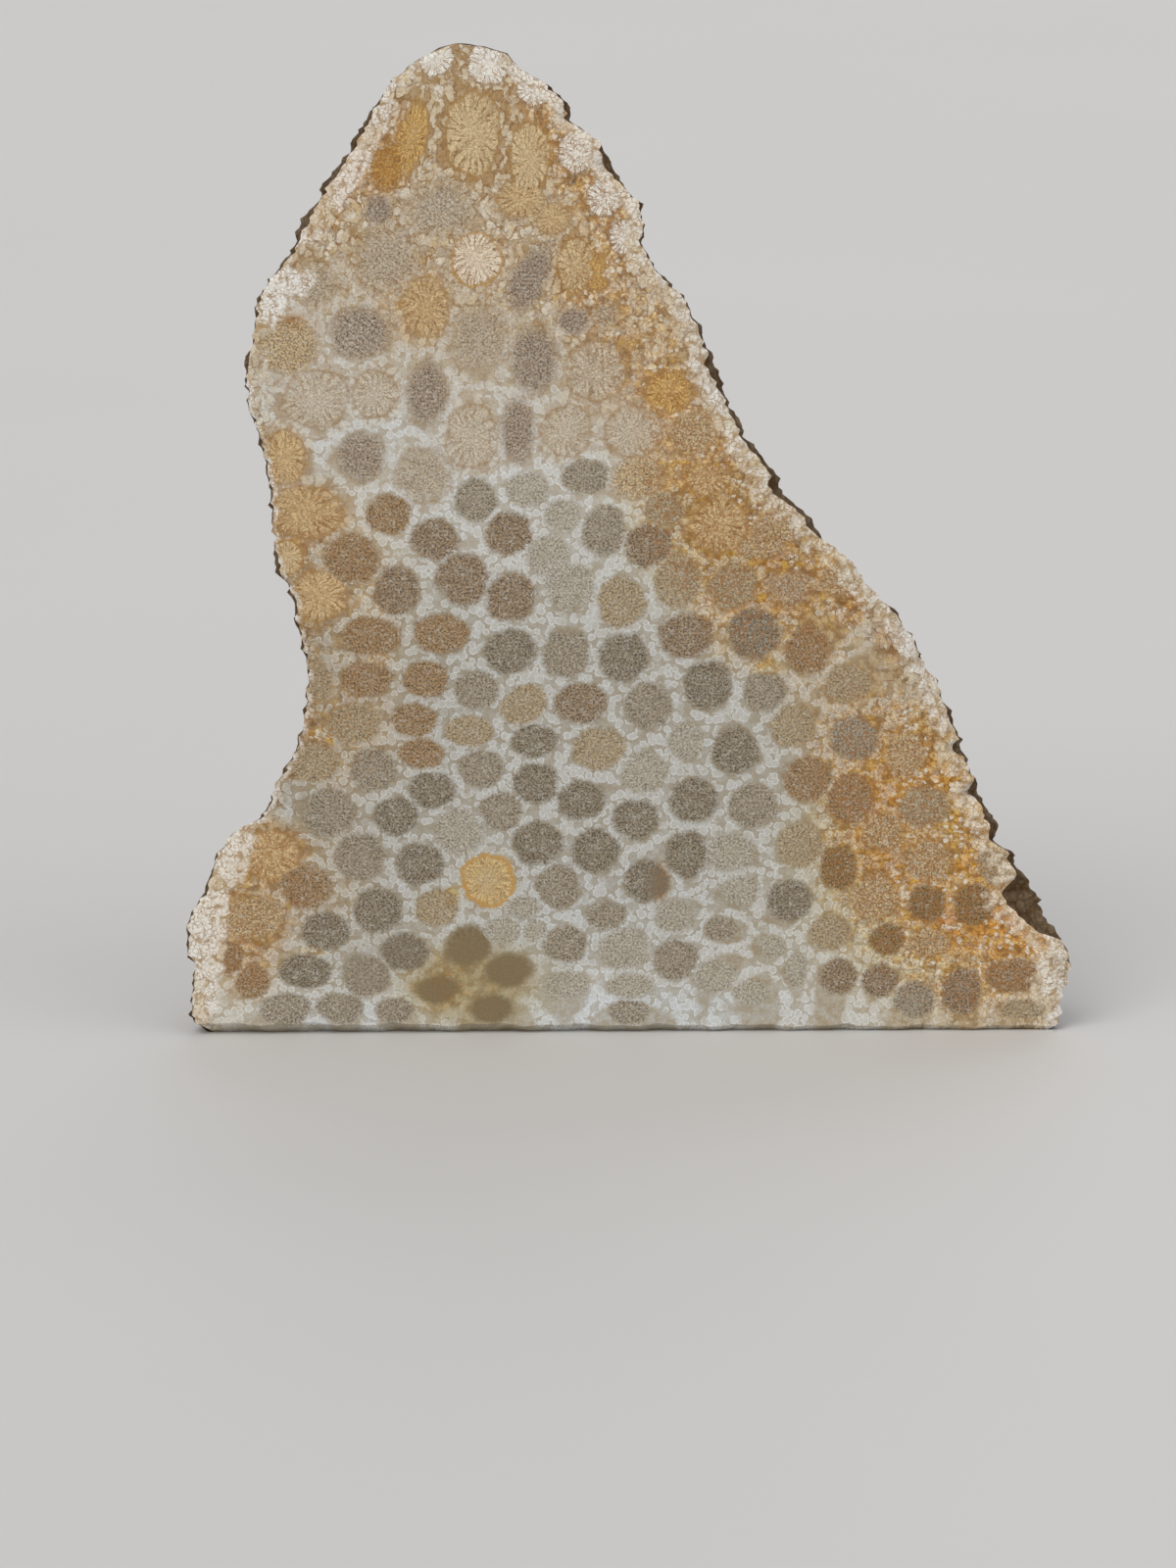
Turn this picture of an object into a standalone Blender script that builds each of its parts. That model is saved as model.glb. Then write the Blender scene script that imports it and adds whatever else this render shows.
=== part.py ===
"""Fossil coral head, a small massive colony turned to stone. One natural piece. Metres, +Z up.

It is sawn twice. The front is a flat sawn and polished face towards -Y that leans a little
forward, and the base is sawn flat so that the head stands. Everything else is the rough rind
the colony grew: lumpy, pitted where the coral cups were, and rounded away behind the face.
The rind is a loft through level sections. Each section is a bow from the left edge of the
face, round the back, to the right edge.
"""

import math

import bpy
import numpy as np

MM = 0.001

# ---- driving dimensions, in millimetres unless the name says otherwise ----
HEIGHT = 200.0                # base to the highest point of the face
DEPTH = 57.0                  # face to the furthest bulge of the back, before the lumps
FACE_LEAN_DEG = 2.5           # the top of the face comes forward over the base
FACE_FOOT_Y = -27.0           # where the plane of the face meets the base plane
TIP_X = -35.5                 # the highest point of the face
TOP_SECTION = 199.4           # the last section below that point
BACK_BULGE_Z = 55.0           # height at which the back stands out furthest
BACK_TUCK = 0.12              # share of the depth lost again down at the base
BACK_SHOULDER = 2.2           # how late the back leans in towards the top: higher is later
BOW_POWER = 2.5               # roundness of a level section: 2 is an ellipse, more is boxier

CHIP_REACH = 4.0              # depth behind the face at which a chip in its rim has run out
LUMP_REACH = 30.0             # depth behind the face at which the lumps are full height
CALM_REACH = 26.0             # and at which the sections no longer follow every nick of the rim
CALM_SPAN = 14.0              # height over which the nicks are evened out back there
CALM_STAND = 0.8              # the most that the evened edge stands outside the true one
FALL_BACK = 0.25              # how far the outline drops for each millimetre behind the face
FALL_MOST = 0.6               # but no more than this share of what is left above it
SIDE_INSET = 2.0              # how far the sides draw in behind the face
SIDE_REACH = 20.0             # depth behind the face over which they do
BIG_LUMP = 4.2                # height and size of the broad lumps of the rind
BIG_LUMP_SIZE = 36.0
SMALL_LUMP = 1.3              # height and size of the knobs on them
SMALL_LUMP_SIZE = 14.0
WAVES = 9                     # sine waves added up in a lump field
OUT_BIAS = 1.4                # lumps stand out more backwards than sideways by this factor

CUP_PITCH = 12.5              # spacing of the coral cups on the rind
CUP_DEPTH = 1.7               # a cup is a shallow pit
CUP_RADIUS = 3.8
CUP_RIM = 0.6                 # the low wall round it
CUP_RIM_RADIUS = 5.4
CUP_RIM_WIDTH = 1.6
CUP_JITTER = 0.28             # share of the spacing by which cups stray from even rows
CUP_ROW_STEP = 0.9            # rows of cups up the rind, as a share of the spacing
CUP_ROW_DEPTH = 0.7           # share of the depth that counts into the length of a row

SECTIONS = 66                 # level sections from the base to the tip
BOW_POINTS = 60               # points along one section
TRAVEL_STEPS = 800            # heights at which the travel of the edges is added up
CALM_STEPS = 9                # heights that the evened edge is a mean of
CALM_FADE = 0.8               # how much less the outermost of them count
BIG_LUMP_SEED = 3             # which of the possible scatters is used
SMALL_LUMP_SEED = 5
CUP_SEED = 12

FOOT_CHAMFER_LEFT = 2.6       # height of the broken edge between face and base, left end
FOOT_CHAMFER_RIGHT = 0.9      # and right end
FOOT_CHAMFER_SLOPE = 1.3      # its depth for one of height
CUTTER_REACH = 100.0          # the cutter of that edge runs from minus this x to plus this x
CUTTER_UNDER = 6.0            # and stands this far proud of face and base

# Edges of the sawn face from the base up, as (x, z).
LEFT_EDGE = [
    (-83.0, 0.0), (-86.0, 1.8), (-87.5, 4.5), (-87.0, 11.5), (-86.5, 14.5), (-88.0, 16.5),
    (-88.0, 23.5), (-87.0, 26.0), (-84.5, 29.5), (-83.5, 32.5), (-82.5, 36.5), (-80.0, 41.0),
    (-77.5, 42.9), (-74.0, 44.6), (-72.0, 46.5), (-70.5, 52.0), (-68.0, 55.5), (-66.0, 60.0),
    (-64.5, 67.0), (-64.0, 75.0), (-65.0, 80.5), (-66.5, 86.0), (-66.2, 89.0), (-69.5, 95.0),
    (-71.0, 103.0), (-71.0, 110.5), (-72.5, 118.5), (-74.0, 124.5), (-75.5, 127.0),
    (-76.0, 135.0), (-74.5, 143.0), (-73.5, 150.0), (-71.0, 154.0), (-67.0, 158.5),
    (-65.0, 163.0), (-61.0, 170.5), (-56.5, 177.0), (-53.0, 183.0), (-50.5, 188.0),
    (-47.5, 193.0), (-43.0, 196.5), (-38.5, 199.2), (TIP_X, HEIGHT),
]
RIGHT_EDGE = [
    (84.5, 0.0), (86.5, 1.6), (87.0, 8.0), (88.2, 10.5), (88.4, 13.5), (88.0, 16.5),
    (86.0, 19.0), (82.0, 20.5), (79.4, 22.4), (77.4, 24.5), (74.0, 28.3), (75.9, 30.4),
    (77.4, 32.4), (76.2, 34.2), (75.1, 37.5), (71.7, 39.5), (71.7, 42.0), (69.6, 47.4),
    (67.2, 49.3), (68.3, 52.0), (66.5, 56.4), (63.6, 58.2), (65.1, 60.2), (62.2, 67.0),
    (60.3, 73.0), (58.1, 75.0), (55.7, 81.0), (51.3, 86.9), (46.4, 92.0), (42.6, 97.5),
    (36.5, 101.8), (34.3, 104.0), (32.7, 107.0), (27.9, 110.1), (26.5, 111.8), (27.0, 113.9),
    (24.3, 118.3), (22.3, 119.6), (18.8, 126.7), (16.6, 131.6), (13.8, 136.0), (14.2, 138.3),
    (12.6, 142.8), (8.9, 150.6), (5.2, 153.4), (1.3, 159.4), (0.7, 161.7), (1.5, 164.4),
    (0.1, 169.1), (-5.3, 174.5), (-7.1, 177.4), (-7.0, 180.6), (-13.8, 185.0), (-14.6, 189.0),
    (-18.8, 192.6), (-23.5, 195.6), (-25.3, 198.0), (-30.6, 199.7), (TIP_X, HEIGHT),
]
# How far the rind just behind an edge stands outside it, as (z, distance): mostly chips that
# broke off the rim of the face, the largest a bite out of the lower right of it.
LEFT_CHIPS = [(0.0, 0.0), (150.0, 0.2), (160.0, 1.0), (165.0, 1.1), (172.0, 0.8),
              (177.0, 1.3), (184.0, 1.2), (190.0, 0.8), (200.0, 0.0)]
RIGHT_CHIPS = [
    (0.0, 0.0), (18.5, 0.0), (20.5, 4.4), (24.5, 6.2), (28.3, 8.3), (30.4, 5.0), (32.4, 2.6),
    (34.2, 1.6), (38.0, 1.0), (42.0, 1.9), (47.0, 1.2), (49.3, 2.4), (52.0, 0.6), (56.0, 0.6),
    (58.2, 2.6), (60.2, 0.6), (90.0, 0.6), (100.0, 0.8), (107.0, 1.8), (111.8, 3.2),
    (115.0, 2.0), (120.0, 1.9), (124.0, 1.1), (131.6, 0.8), (136.0, 2.4), (138.3, 0.8),
    (150.0, 0.7), (153.4, 1.4), (156.0, 0.6), (170.0, 0.9), (177.4, 2.6), (180.6, 0.8),
    (190.0, 0.9), (200.0, 0.0),
]


def face_y(z):
    """Y of the sawn plane at a height."""
    return FACE_FOOT_Y - z * math.tan(math.radians(FACE_LEAN_DEG))


def along(points, z):
    """The x of a face edge at heights z."""
    return np.interp(z, [p[1] for p in points], [p[0] for p in points])


def chip(points, z):
    """How far the rind stands outside the face edge at heights z."""
    return np.interp(z, [p[0] for p in points], [p[1] for p in points])


def ease(share):
    """Smooth step from 0 to 1 as the share goes from 0 to 1."""
    share = np.clip(share, 0.0, 1.0)
    return share * share * (3.0 - 2.0 * share)


def section_heights(count):
    """Heights of the sections, closer together where the edges run nearly level."""
    z = np.linspace(0.0, TOP_SECTION, TRAVEL_STEPS)
    run = 0.5 * (np.abs(np.gradient(along(LEFT_EDGE, z))) + np.abs(np.gradient(along(RIGHT_EDGE, z))))
    travel = np.cumsum(np.hypot(np.gradient(z), run))
    travel = (travel - travel[0]) / (travel[-1] - travel[0])
    return np.interp(np.linspace(0.0, 1.0, count), travel, z)


def back_depth(z):
    """Distance from the face to the middle of the back at heights z."""
    above = np.clip((z - BACK_BULGE_Z) / (HEIGHT - BACK_BULGE_Z), 0.0, 1.0)
    below = np.clip(1.0 - z / BACK_BULGE_Z, 0.0, 1.0)
    return DEPTH * (1.0 - BACK_TUCK * below ** 2) * np.sqrt(1.0 - above ** BACK_SHOULDER)


def calm(points, z):
    """A face edge with its nicks evened out, for the rind well behind it."""
    steps = np.linspace(-1.0, 1.0, CALM_STEPS)
    weights = 1.0 - CALM_FADE * steps ** 2
    shifted = [along(points, np.clip(z + s * CALM_SPAN, 0.0, HEIGHT)) for s in steps]
    return sum(w * x for w, x in zip(weights, shifted)) / weights.sum()


def smooth_rind(z, turn):
    """Points of the rind without lumps: z heights, turn 0 at the left edge to 1 at the right.
    Behind the face the outline drops and draws in, as on a stone that is round at the back."""
    cosine = np.cos(math.pi * turn)
    bow_x = np.sign(cosine) * np.abs(cosine) ** (2.0 / BOW_POWER)
    bow_y = np.abs(np.sin(math.pi * turn)) ** (2.0 / BOW_POWER)
    behind = back_depth(z) * bow_y
    level = z + np.minimum(FALL_BACK * behind, FALL_MOST * (HEIGHT - z))
    calmed = ease(behind / CALM_REACH)
    inset = SIDE_INSET * ease(behind / SIDE_REACH)
    left = along(LEFT_EDGE, level)
    right = along(RIGHT_EDGE, level)
    left += (np.maximum(calm(LEFT_EDGE, level), left - CALM_STAND) - left) * calmed
    right += (np.minimum(calm(RIGHT_EDGE, level), right + CALM_STAND) - right) * calmed
    inset = np.minimum(inset, 0.25 * (right - left))
    side = np.where(turn < 0.5, -chip(LEFT_CHIPS, level), chip(RIGHT_CHIPS, level))
    side = side * ease(behind / CHIP_REACH) * (1.0 - calmed)
    x = 0.5 * (left + right) - (0.5 * (right - left) - inset) * bow_x + side
    return np.stack([x, face_y(z) + behind, z + 0.0 * turn], axis=-1)


def lump_field(points, size, seed):
    """Smooth lumps about `size` across, roughly -1 to 1: sine waves in scattered directions."""
    rng = np.random.RandomState(seed)
    ways = rng.normal(size=(WAVES, 3))
    ways /= np.linalg.norm(ways, axis=1)[:, None]
    pace = math.pi / (size * rng.uniform(0.7, 1.4, WAVES))
    start = rng.uniform(0.0, 2.0 * math.pi, WAVES)
    waves = np.sin((points @ ways.T) * pace + start)
    return waves.sum(axis=-1) / math.sqrt(WAVES)


def cup_centres():
    """Middles of the coral cups: rows up the rind, each shifted half a cup from the last."""
    rng = np.random.RandomState(CUP_SEED)
    centres = []
    for row, z in enumerate(np.arange(0.5 * CUP_PITCH, HEIGHT, CUP_ROW_STEP * CUP_PITCH)):
        width = float(along(RIGHT_EDGE, z) - along(LEFT_EDGE, z))
        length = width + CUP_ROW_DEPTH * float(back_depth(z))
        count = max(2, int(round(length / CUP_PITCH)))
        turn = (np.arange(count) + 0.5 * (row % 2) + 0.25) / count
        turn = turn + CUP_JITTER * rng.uniform(-1.0, 1.0, count) / count
        level = z + CUP_JITTER * CUP_PITCH * rng.uniform(-1.0, 1.0, count)
        centres.append(smooth_rind(np.clip(level, 1.0, TOP_SECTION), np.clip(turn, 0.03, 0.97)))
    return np.concatenate(centres)


def cups(points, centres):
    """Height of the rind over its smooth shape near the cups: pit inside, low wall round it."""
    away = np.sqrt(((points[..., None, :] - centres) ** 2).sum(axis=-1)).min(axis=-1)
    pit = -CUP_DEPTH * np.exp(-(away / CUP_RADIUS) ** 2)
    wall = CUP_RIM * np.exp(-((away - CUP_RIM_RADIUS) / CUP_RIM_WIDTH) ** 2)
    return pit + wall


def rind(z, turn):
    """Points of the rind with its lumps and cups, pushed out level from the middle of the face."""
    points = smooth_rind(z, turn)
    middle = 0.5 * (calm(LEFT_EDGE, z) + calm(RIGHT_EDGE, z))
    behind = points[..., 1] - face_y(z)
    out = np.stack([points[..., 0] - middle, OUT_BIAS * behind, 0.0 * middle], axis=-1)
    out /= np.maximum(np.linalg.norm(out, axis=-1), 1.0)[..., None]
    height = BIG_LUMP * lump_field(points, BIG_LUMP_SIZE, BIG_LUMP_SEED)
    height += SMALL_LUMP * lump_field(points, SMALL_LUMP_SIZE, SMALL_LUMP_SEED)
    height += cups(points, cup_centres())
    return points + out * (height * ease(behind / LUMP_REACH))[..., None]


def head_mesh():
    """The whole head: rind, tip, sawn face and sawn base, one closed surface."""
    heights = section_heights(SECTIONS)
    z, turn = np.meshgrid(heights, np.linspace(0.0, 1.0, BOW_POINTS), indexing="ij")
    grid = rind(z, turn)
    grid[:, 0, 1] = face_y(heights)
    grid[:, -1, 1] = face_y(heights)
    tip = [TIP_X, face_y(HEIGHT), HEIGHT]
    verts = np.concatenate([grid.reshape(-1, 3), [tip]]) * MM
    row = BOW_POINTS
    tip_at = SECTIONS * row
    faces = []
    for level in range(SECTIONS - 1):
        for step in range(row - 1):
            low = level * row + step
            faces.append((low, low + row, low + row + 1, low + 1))
    last = (SECTIONS - 1) * row
    for step in range(row - 1):
        faces.append((last + step, tip_at, last + step + 1))
    left_side = [level * row for level in range(SECTIONS)]
    right_side = [level * row + row - 1 for level in range(SECTIONS)]
    faces.append(tuple(right_side + [tip_at] + left_side[::-1]))
    faces.append(tuple(range(row)))
    mesh = bpy.data.meshes.new("coral_head")
    mesh.from_pydata(verts.tolist(), [], faces)
    mesh.validate()
    return mesh


def chamfer_mesh():
    """A wedge along the foot of the face, taking off the edge between face and base."""
    verts = []
    for x, tall in ((-CUTTER_REACH, FOOT_CHAMFER_LEFT), (CUTTER_REACH, FOOT_CHAMFER_RIGHT)):
        deep = tall * FOOT_CHAMFER_SLOPE
        lean = math.tan(math.radians(FACE_LEAN_DEG))
        step_y = deep + tall * lean
        share = CUTTER_UNDER / tall
        verts.append((x, FACE_FOOT_Y - tall * lean - share * step_y, tall + CUTTER_UNDER))
        verts.append((x, FACE_FOOT_Y + deep + share * step_y, -CUTTER_UNDER))
        verts.append((x, FACE_FOOT_Y - tall * lean - share * step_y, -CUTTER_UNDER))
    faces = [(0, 1, 2), (5, 4, 3), (0, 3, 4, 1), (1, 4, 5, 2), (2, 5, 3, 0)]
    mesh = bpy.data.meshes.new("foot_chamfer_cutter")
    mesh.from_pydata([(a * MM, b * MM, c * MM) for a, b, c in verts], [], faces)
    mesh.validate()
    return mesh


def stone():
    """Brown weathered coral limestone."""
    material = bpy.data.materials.new("fossil coral")
    material.use_nodes = True
    shader = material.node_tree.nodes["Principled BSDF"]
    shader.inputs["Base Color"].default_value = (0.42, 0.33, 0.22, 1.0)
    shader.inputs["Roughness"].default_value = 0.7
    return material


def build():
    """Put the head and its cutter in the scene."""
    for old in list(bpy.data.objects):
        bpy.data.objects.remove(old, do_unlink=True)
    head_group = bpy.data.collections.new("Fossil coral head")
    cutter_group = bpy.data.collections.new("cutters")
    bpy.context.scene.collection.children.link(head_group)
    bpy.context.scene.collection.children.link(cutter_group)

    head = bpy.data.objects.new("coral_head", head_mesh())
    head.data.materials.append(stone())
    head_group.objects.link(head)

    cutter = bpy.data.objects.new("foot_chamfer_cutter", chamfer_mesh())
    cutter.hide_render = True
    cutter.display_type = "WIRE"
    cutter_group.objects.link(cutter)

    cut = head.modifiers.new("broken foot edge", "BOOLEAN")
    cut.operation = "DIFFERENCE"
    cut.solver = "EXACT"
    cut.object = cutter


build()
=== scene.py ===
"""Fossil coral head: the looks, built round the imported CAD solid. Metres, +Z up.

One closed piece stands for the solid: the sawn and polished face, the rough rind behind it,
the broken edge along the foot and the sawn base, all on one mesh with shared seams. What the
face shows is drawn from a list of its coral cups, each with its place, size and mineral tone.
"""

import math

import bpy
import numpy as np
from mathutils import Matrix, Vector


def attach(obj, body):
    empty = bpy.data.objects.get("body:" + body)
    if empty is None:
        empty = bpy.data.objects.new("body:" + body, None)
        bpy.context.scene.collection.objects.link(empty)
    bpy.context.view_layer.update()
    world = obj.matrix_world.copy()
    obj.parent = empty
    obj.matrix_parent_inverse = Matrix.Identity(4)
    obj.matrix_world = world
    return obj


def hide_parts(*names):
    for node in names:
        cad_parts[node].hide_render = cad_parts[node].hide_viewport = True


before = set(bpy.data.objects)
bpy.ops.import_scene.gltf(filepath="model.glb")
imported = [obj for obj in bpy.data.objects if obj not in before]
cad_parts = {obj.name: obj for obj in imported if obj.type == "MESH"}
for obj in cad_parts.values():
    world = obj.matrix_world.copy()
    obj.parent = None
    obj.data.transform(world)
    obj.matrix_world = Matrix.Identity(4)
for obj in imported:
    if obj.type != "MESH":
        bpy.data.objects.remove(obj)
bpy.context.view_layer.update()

MM = 0.001

# ---- the solid's own dimensions, in millimetres, as the CAD has them ----
HEIGHT = 200.0  # base to the highest point of the face
DEPTH = 57.0  # face to the furthest bulge of the back, before the lumps
FACE_LEAN_DEG = 2.5  # the top of the face comes forward over the base
FACE_FOOT_Y = -27.0  # where the plane of the face meets the base plane
TIP_X = -35.5  # the highest point of the face
TOP_SECTION = 199.4  # the last row below that point
BACK_BULGE_Z = 55.0  # height at which the back stands out furthest
BACK_TUCK = 0.12  # share of the depth lost again down at the base
BACK_SHOULDER = 2.2  # how late the back leans in towards the top: higher is later
BOW_POWER = 2.5  # roundness of a level section: 2 is an ellipse, more is boxier
CHIP_REACH = 4.0  # depth behind the face at which a chip in its rim has run out
LUMP_REACH = 30.0  # depth behind the face at which the lumps are full height
CALM_REACH = 26.0  # and at which the sections no longer follow every nick of the rim
CALM_SPAN = 14.0  # height over which the nicks are evened out back there
CALM_STEPS = 9  # heights that the evened edge is a mean of
CALM_FADE = 0.8  # how much less the outermost of them count
CALM_STAND = 0.8  # the most that the evened edge stands outside the true one
FALL_BACK = 0.25  # how far the outline drops for each millimetre behind the face
FALL_MOST = 0.6  # but no more than this share of what is left above it
SIDE_INSET = 2.0  # how far the sides draw in behind the face
SIDE_REACH = 20.0  # depth behind the face over which they do
INSET_MOST = 0.25  # but never by more than this share of the width
BIG_LUMP = 4.2  # height and size of the broad lumps of the rind
BIG_LUMP_SIZE = 36.0
SMALL_LUMP = 1.3  # height and size of the knobs on them
SMALL_LUMP_SIZE = 14.0
WAVES = 9  # sine waves added up in a lump field
WAVE_SPREAD = (0.7, 1.4)  # the shortest and longest of them, as a share of the size
OUT_BIAS = 1.4  # lumps stand out more backwards than sideways by this factor
CUP_PITCH = 12.5  # spacing of the coral cups on the rind
CUP_DEPTH = 1.7  # a cup is a shallow pit
CUP_RADIUS = 3.8  # and its radius
CUP_RIM = 0.6  # the low wall round it
CUP_RIM_RADIUS = 5.4  # how far out that wall stands
CUP_RIM_WIDTH = 1.6  # and how broad it is
CUP_JITTER = 0.28  # share of the spacing by which cups stray from even rows
CUP_ROW_STEP = 0.9  # rows of cups up the rind, as a share of the spacing
CUP_ROW_DEPTH = 0.7  # share of the depth that counts into the length of a row
CUP_ROW_START, CUP_ROW_SHIFT = 0.25, 0.5  # first cup of a row, shift of every other row
CUP_LOWEST = 1.0  # no cup is centred lower than this
CUP_TURNS = (0.03, 0.97)  # nor nearer to the edges of the face, as shares of the way round
TRAVEL_STEPS = 800  # heights at which the travel of the edges is added up
BIG_LUMP_SEED = 3  # which of the possible scatters is used
SMALL_LUMP_SEED = 5
CUP_SEED = 12
FOOT_LEFT = 2.5  # height of the broken edge between face and base, left end
FOOT_RIGHT = 1.0  # and right end
FOOT_SLOPE = 1.3  # its depth for one of height

# ---- what only the looks have ----
ROWS = 250  # rows from the foot of the face to the tip
FACE_COLUMNS = 160  # points of a row across the face
RIND_COLUMNS = 222  # points of a row round the rind
RAGGED = 0.35  # how far the rim of the face wavers in and out
RAGGED_PACES = (1.3, 2.1, 3.2, 4.7)  # radians per millimetre of the waves in it
RAGGED_STARTS = (0.7, 2.9)  # where the waves of the left and right edge start
RAGGED_FADE = 3.0  # height over which they fade out at both ends
FOOT_CHIPS = ((0.22, 61.0, 0.0), (0.16, 143.0, 1.0))  # waves of the foot: height, pace, start
FOOT_FADE = 0.04  # share of the width over which those fade out
RIM_ROUND = 1.4  # width over which the rim of the face is worn round
RIM_DROP = 0.5  # and how far it drops there
RIM_FOOT = 1.5  # height above the foot over which that begins
RIM_GRAIN = 0.10  # height of the unevenness near the rim
RIM_GRAIN_SIZE = 1.7  # and the size of its grains
RIM_GRAIN_LIFT = 0.8  # keeps it mostly to one side
RIM_GRAIN_REACH = 4.5  # how far in from the rim it runs
RIM_GRAIN_SEED, RIM_GRAIN_WAVES = 21, 24
EDGE_POINTS = 700  # points along each edge that the distance to the rim is taken from
GRIT = 0.42  # height of the fine roughness of the rind
GRIT_SIZE = 3.6  # and the size of its grains
GRIT_REACH = 2.5  # depth behind the face at which it is full height
FINE_GRIT = 0.6  # a second, finer roughness, as a share of both
GRIT_SEED, FINE_GRIT_SEED, GRIT_WAVES = 8, 9, 30
NEAR_FACE = 6.0  # depth behind the face over which painted shade darkens the rind
SHARP_DEG = 42.0  # an edge bent more than this is not shaded smooth
CUP_LOOK_SEED, CUP_LOOKS = 4, 2000  # random numbers drawn for the looks of the cups

# The plan of the face: the place it is measured from, what that is in millimetres, and the
# millimetres of a step across and down with their small changes down the plan.
PLAN_ACROSS, PLAN_DOWN = 600.0, 1050.0
PLAN_X, PLAN_Z = -8.15, 0.92
STEP_ACROSS, STEP_DOWN = 0.19655, 0.20455
STEP_ACROSS_CHANGE, STEP_DOWN_CHANGE = 6.4e-6, 6.54e-6
STEP_SLIDE, STEP_SINK = 0.0015, 0.0012
OVAL_ACROSS, OVAL_DOWN = 0.194, 0.199  # the same for half widths and heights
SPOT_FULL, SPOT_FALL = 1.45, 1.05  # a soft spot's strength falls by this with the distance

# Where the face is grainy and crusted, in millimetres: towards the top, in a band along the
# rim that is broader on the right, and in the lower right corner.
UPPER_FROM, UPPER_SLOPE, UPPER_OVER = 118.0, 0.25, 34.0
GRAIN_BANDS, GRAIN_BAND_FULL = (3.0, 9.0), 1.25
RIGHT_SIDE_OVER = 6.0
CORNER_X, CORNER_X_OVER, CORNER_Z, CORNER_Z_OVER, CORNER_GRAIN = 42.0, 24.0, 70.0, 20.0, 0.45
HIGH_FROM, HIGH_OVER, CRUST_BAND_FULL = 150.0, 20.0, 1.35
CRUST_LOW, CRUST_HIGH = (1.2, 5.0, 0.50), (1.6, 3.2, 0.62)  # band left and right, strength

# Edges of the sawn face from the base up, as (x, z).
LEFT_EDGE = [
    (-83.0, 0.0), (-86.0, 1.8), (-87.5, 4.5), (-87.0, 11.5), (-86.5, 14.5), (-88.0, 16.5),
    (-88.0, 23.5), (-87.0, 26.0), (-84.5, 29.5), (-83.5, 32.5), (-82.5, 36.5), (-80.0, 41.0),
    (-77.5, 42.9), (-74.0, 44.6), (-72.0, 46.5), (-70.5, 52.0), (-68.0, 55.5), (-66.0, 60.0),
    (-64.5, 67.0), (-64.0, 75.0), (-65.0, 80.5), (-66.5, 86.0), (-66.2, 89.0), (-69.5, 95.0),
    (-71.0, 103.0), (-71.0, 110.5), (-72.5, 118.5), (-74.0, 124.5), (-75.5, 127.0),
    (-76.0, 135.0), (-74.5, 143.0), (-73.5, 150.0), (-71.0, 154.0), (-67.0, 158.5),
    (-65.0, 163.0), (-61.0, 170.5), (-56.5, 177.0), (-53.0, 183.0), (-50.5, 188.0),
    (-47.5, 193.0), (-43.0, 196.5), (-38.5, 199.2), (TIP_X, HEIGHT),
]
RIGHT_EDGE = [
    (84.5, 0.0), (86.5, 1.6), (87.0, 8.0), (88.2, 10.5), (88.4, 13.5), (88.0, 16.5),
    (86.0, 19.0), (82.0, 20.5), (79.4, 22.4), (77.4, 24.5), (74.0, 28.3), (75.9, 30.4),
    (77.4, 32.4), (76.2, 34.2), (75.1, 37.5), (71.7, 39.5), (71.7, 42.0), (69.6, 47.4),
    (67.2, 49.3), (68.3, 52.0), (66.5, 56.4), (63.6, 58.2), (65.1, 60.2), (62.2, 67.0),
    (60.3, 73.0), (58.1, 75.0), (55.7, 81.0), (51.3, 86.9), (46.4, 92.0), (42.6, 97.5),
    (36.5, 101.8), (34.3, 104.0), (32.7, 107.0), (27.9, 110.1), (26.5, 111.8), (27.0, 113.9),
    (24.3, 118.3), (22.3, 119.6), (18.8, 126.7), (16.6, 131.6), (13.8, 136.0), (14.2, 138.3),
    (12.6, 142.8), (8.9, 150.6), (5.2, 153.4), (1.3, 159.4), (0.7, 161.7), (1.5, 164.4),
    (0.1, 169.1), (-5.3, 174.5), (-7.1, 177.4), (-7.0, 180.6), (-13.8, 185.0), (-14.6, 189.0),
    (-18.8, 192.6), (-23.5, 195.6), (-25.3, 198.0), (-30.6, 199.7), (TIP_X, HEIGHT),
]
# How far the rind just behind an edge stands outside it, as (z, distance): mostly chips that
# broke off the rim of the face, the largest a bite out of the lower right of it.
LEFT_CHIPS = [(0.0, 0.0), (150.0, 0.2), (160.0, 1.0), (165.0, 1.1), (172.0, 0.8),
              (177.0, 1.3), (184.0, 1.2), (190.0, 0.8), (200.0, 0.0)]
RIGHT_CHIPS = [
    (0.0, 0.0), (18.5, 0.0), (20.5, 4.4), (24.5, 6.2), (28.3, 8.3), (30.4, 5.0), (32.4, 2.6),
    (34.2, 1.6), (38.0, 1.0), (42.0, 1.9), (47.0, 1.2), (49.3, 2.4), (52.0, 0.6), (56.0, 0.6),
    (58.2, 2.6), (60.2, 0.6), (90.0, 0.6), (100.0, 0.8), (107.0, 1.8), (111.8, 3.2),
    (115.0, 2.0), (120.0, 1.9), (124.0, 1.1), (131.6, 0.8), (136.0, 2.4), (138.3, 0.8),
    (150.0, 0.7), (153.4, 1.4), (156.0, 0.6), (170.0, 0.9), (177.4, 2.6), (180.6, 0.8),
    (190.0, 0.9), (200.0, 0.0),
]

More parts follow.
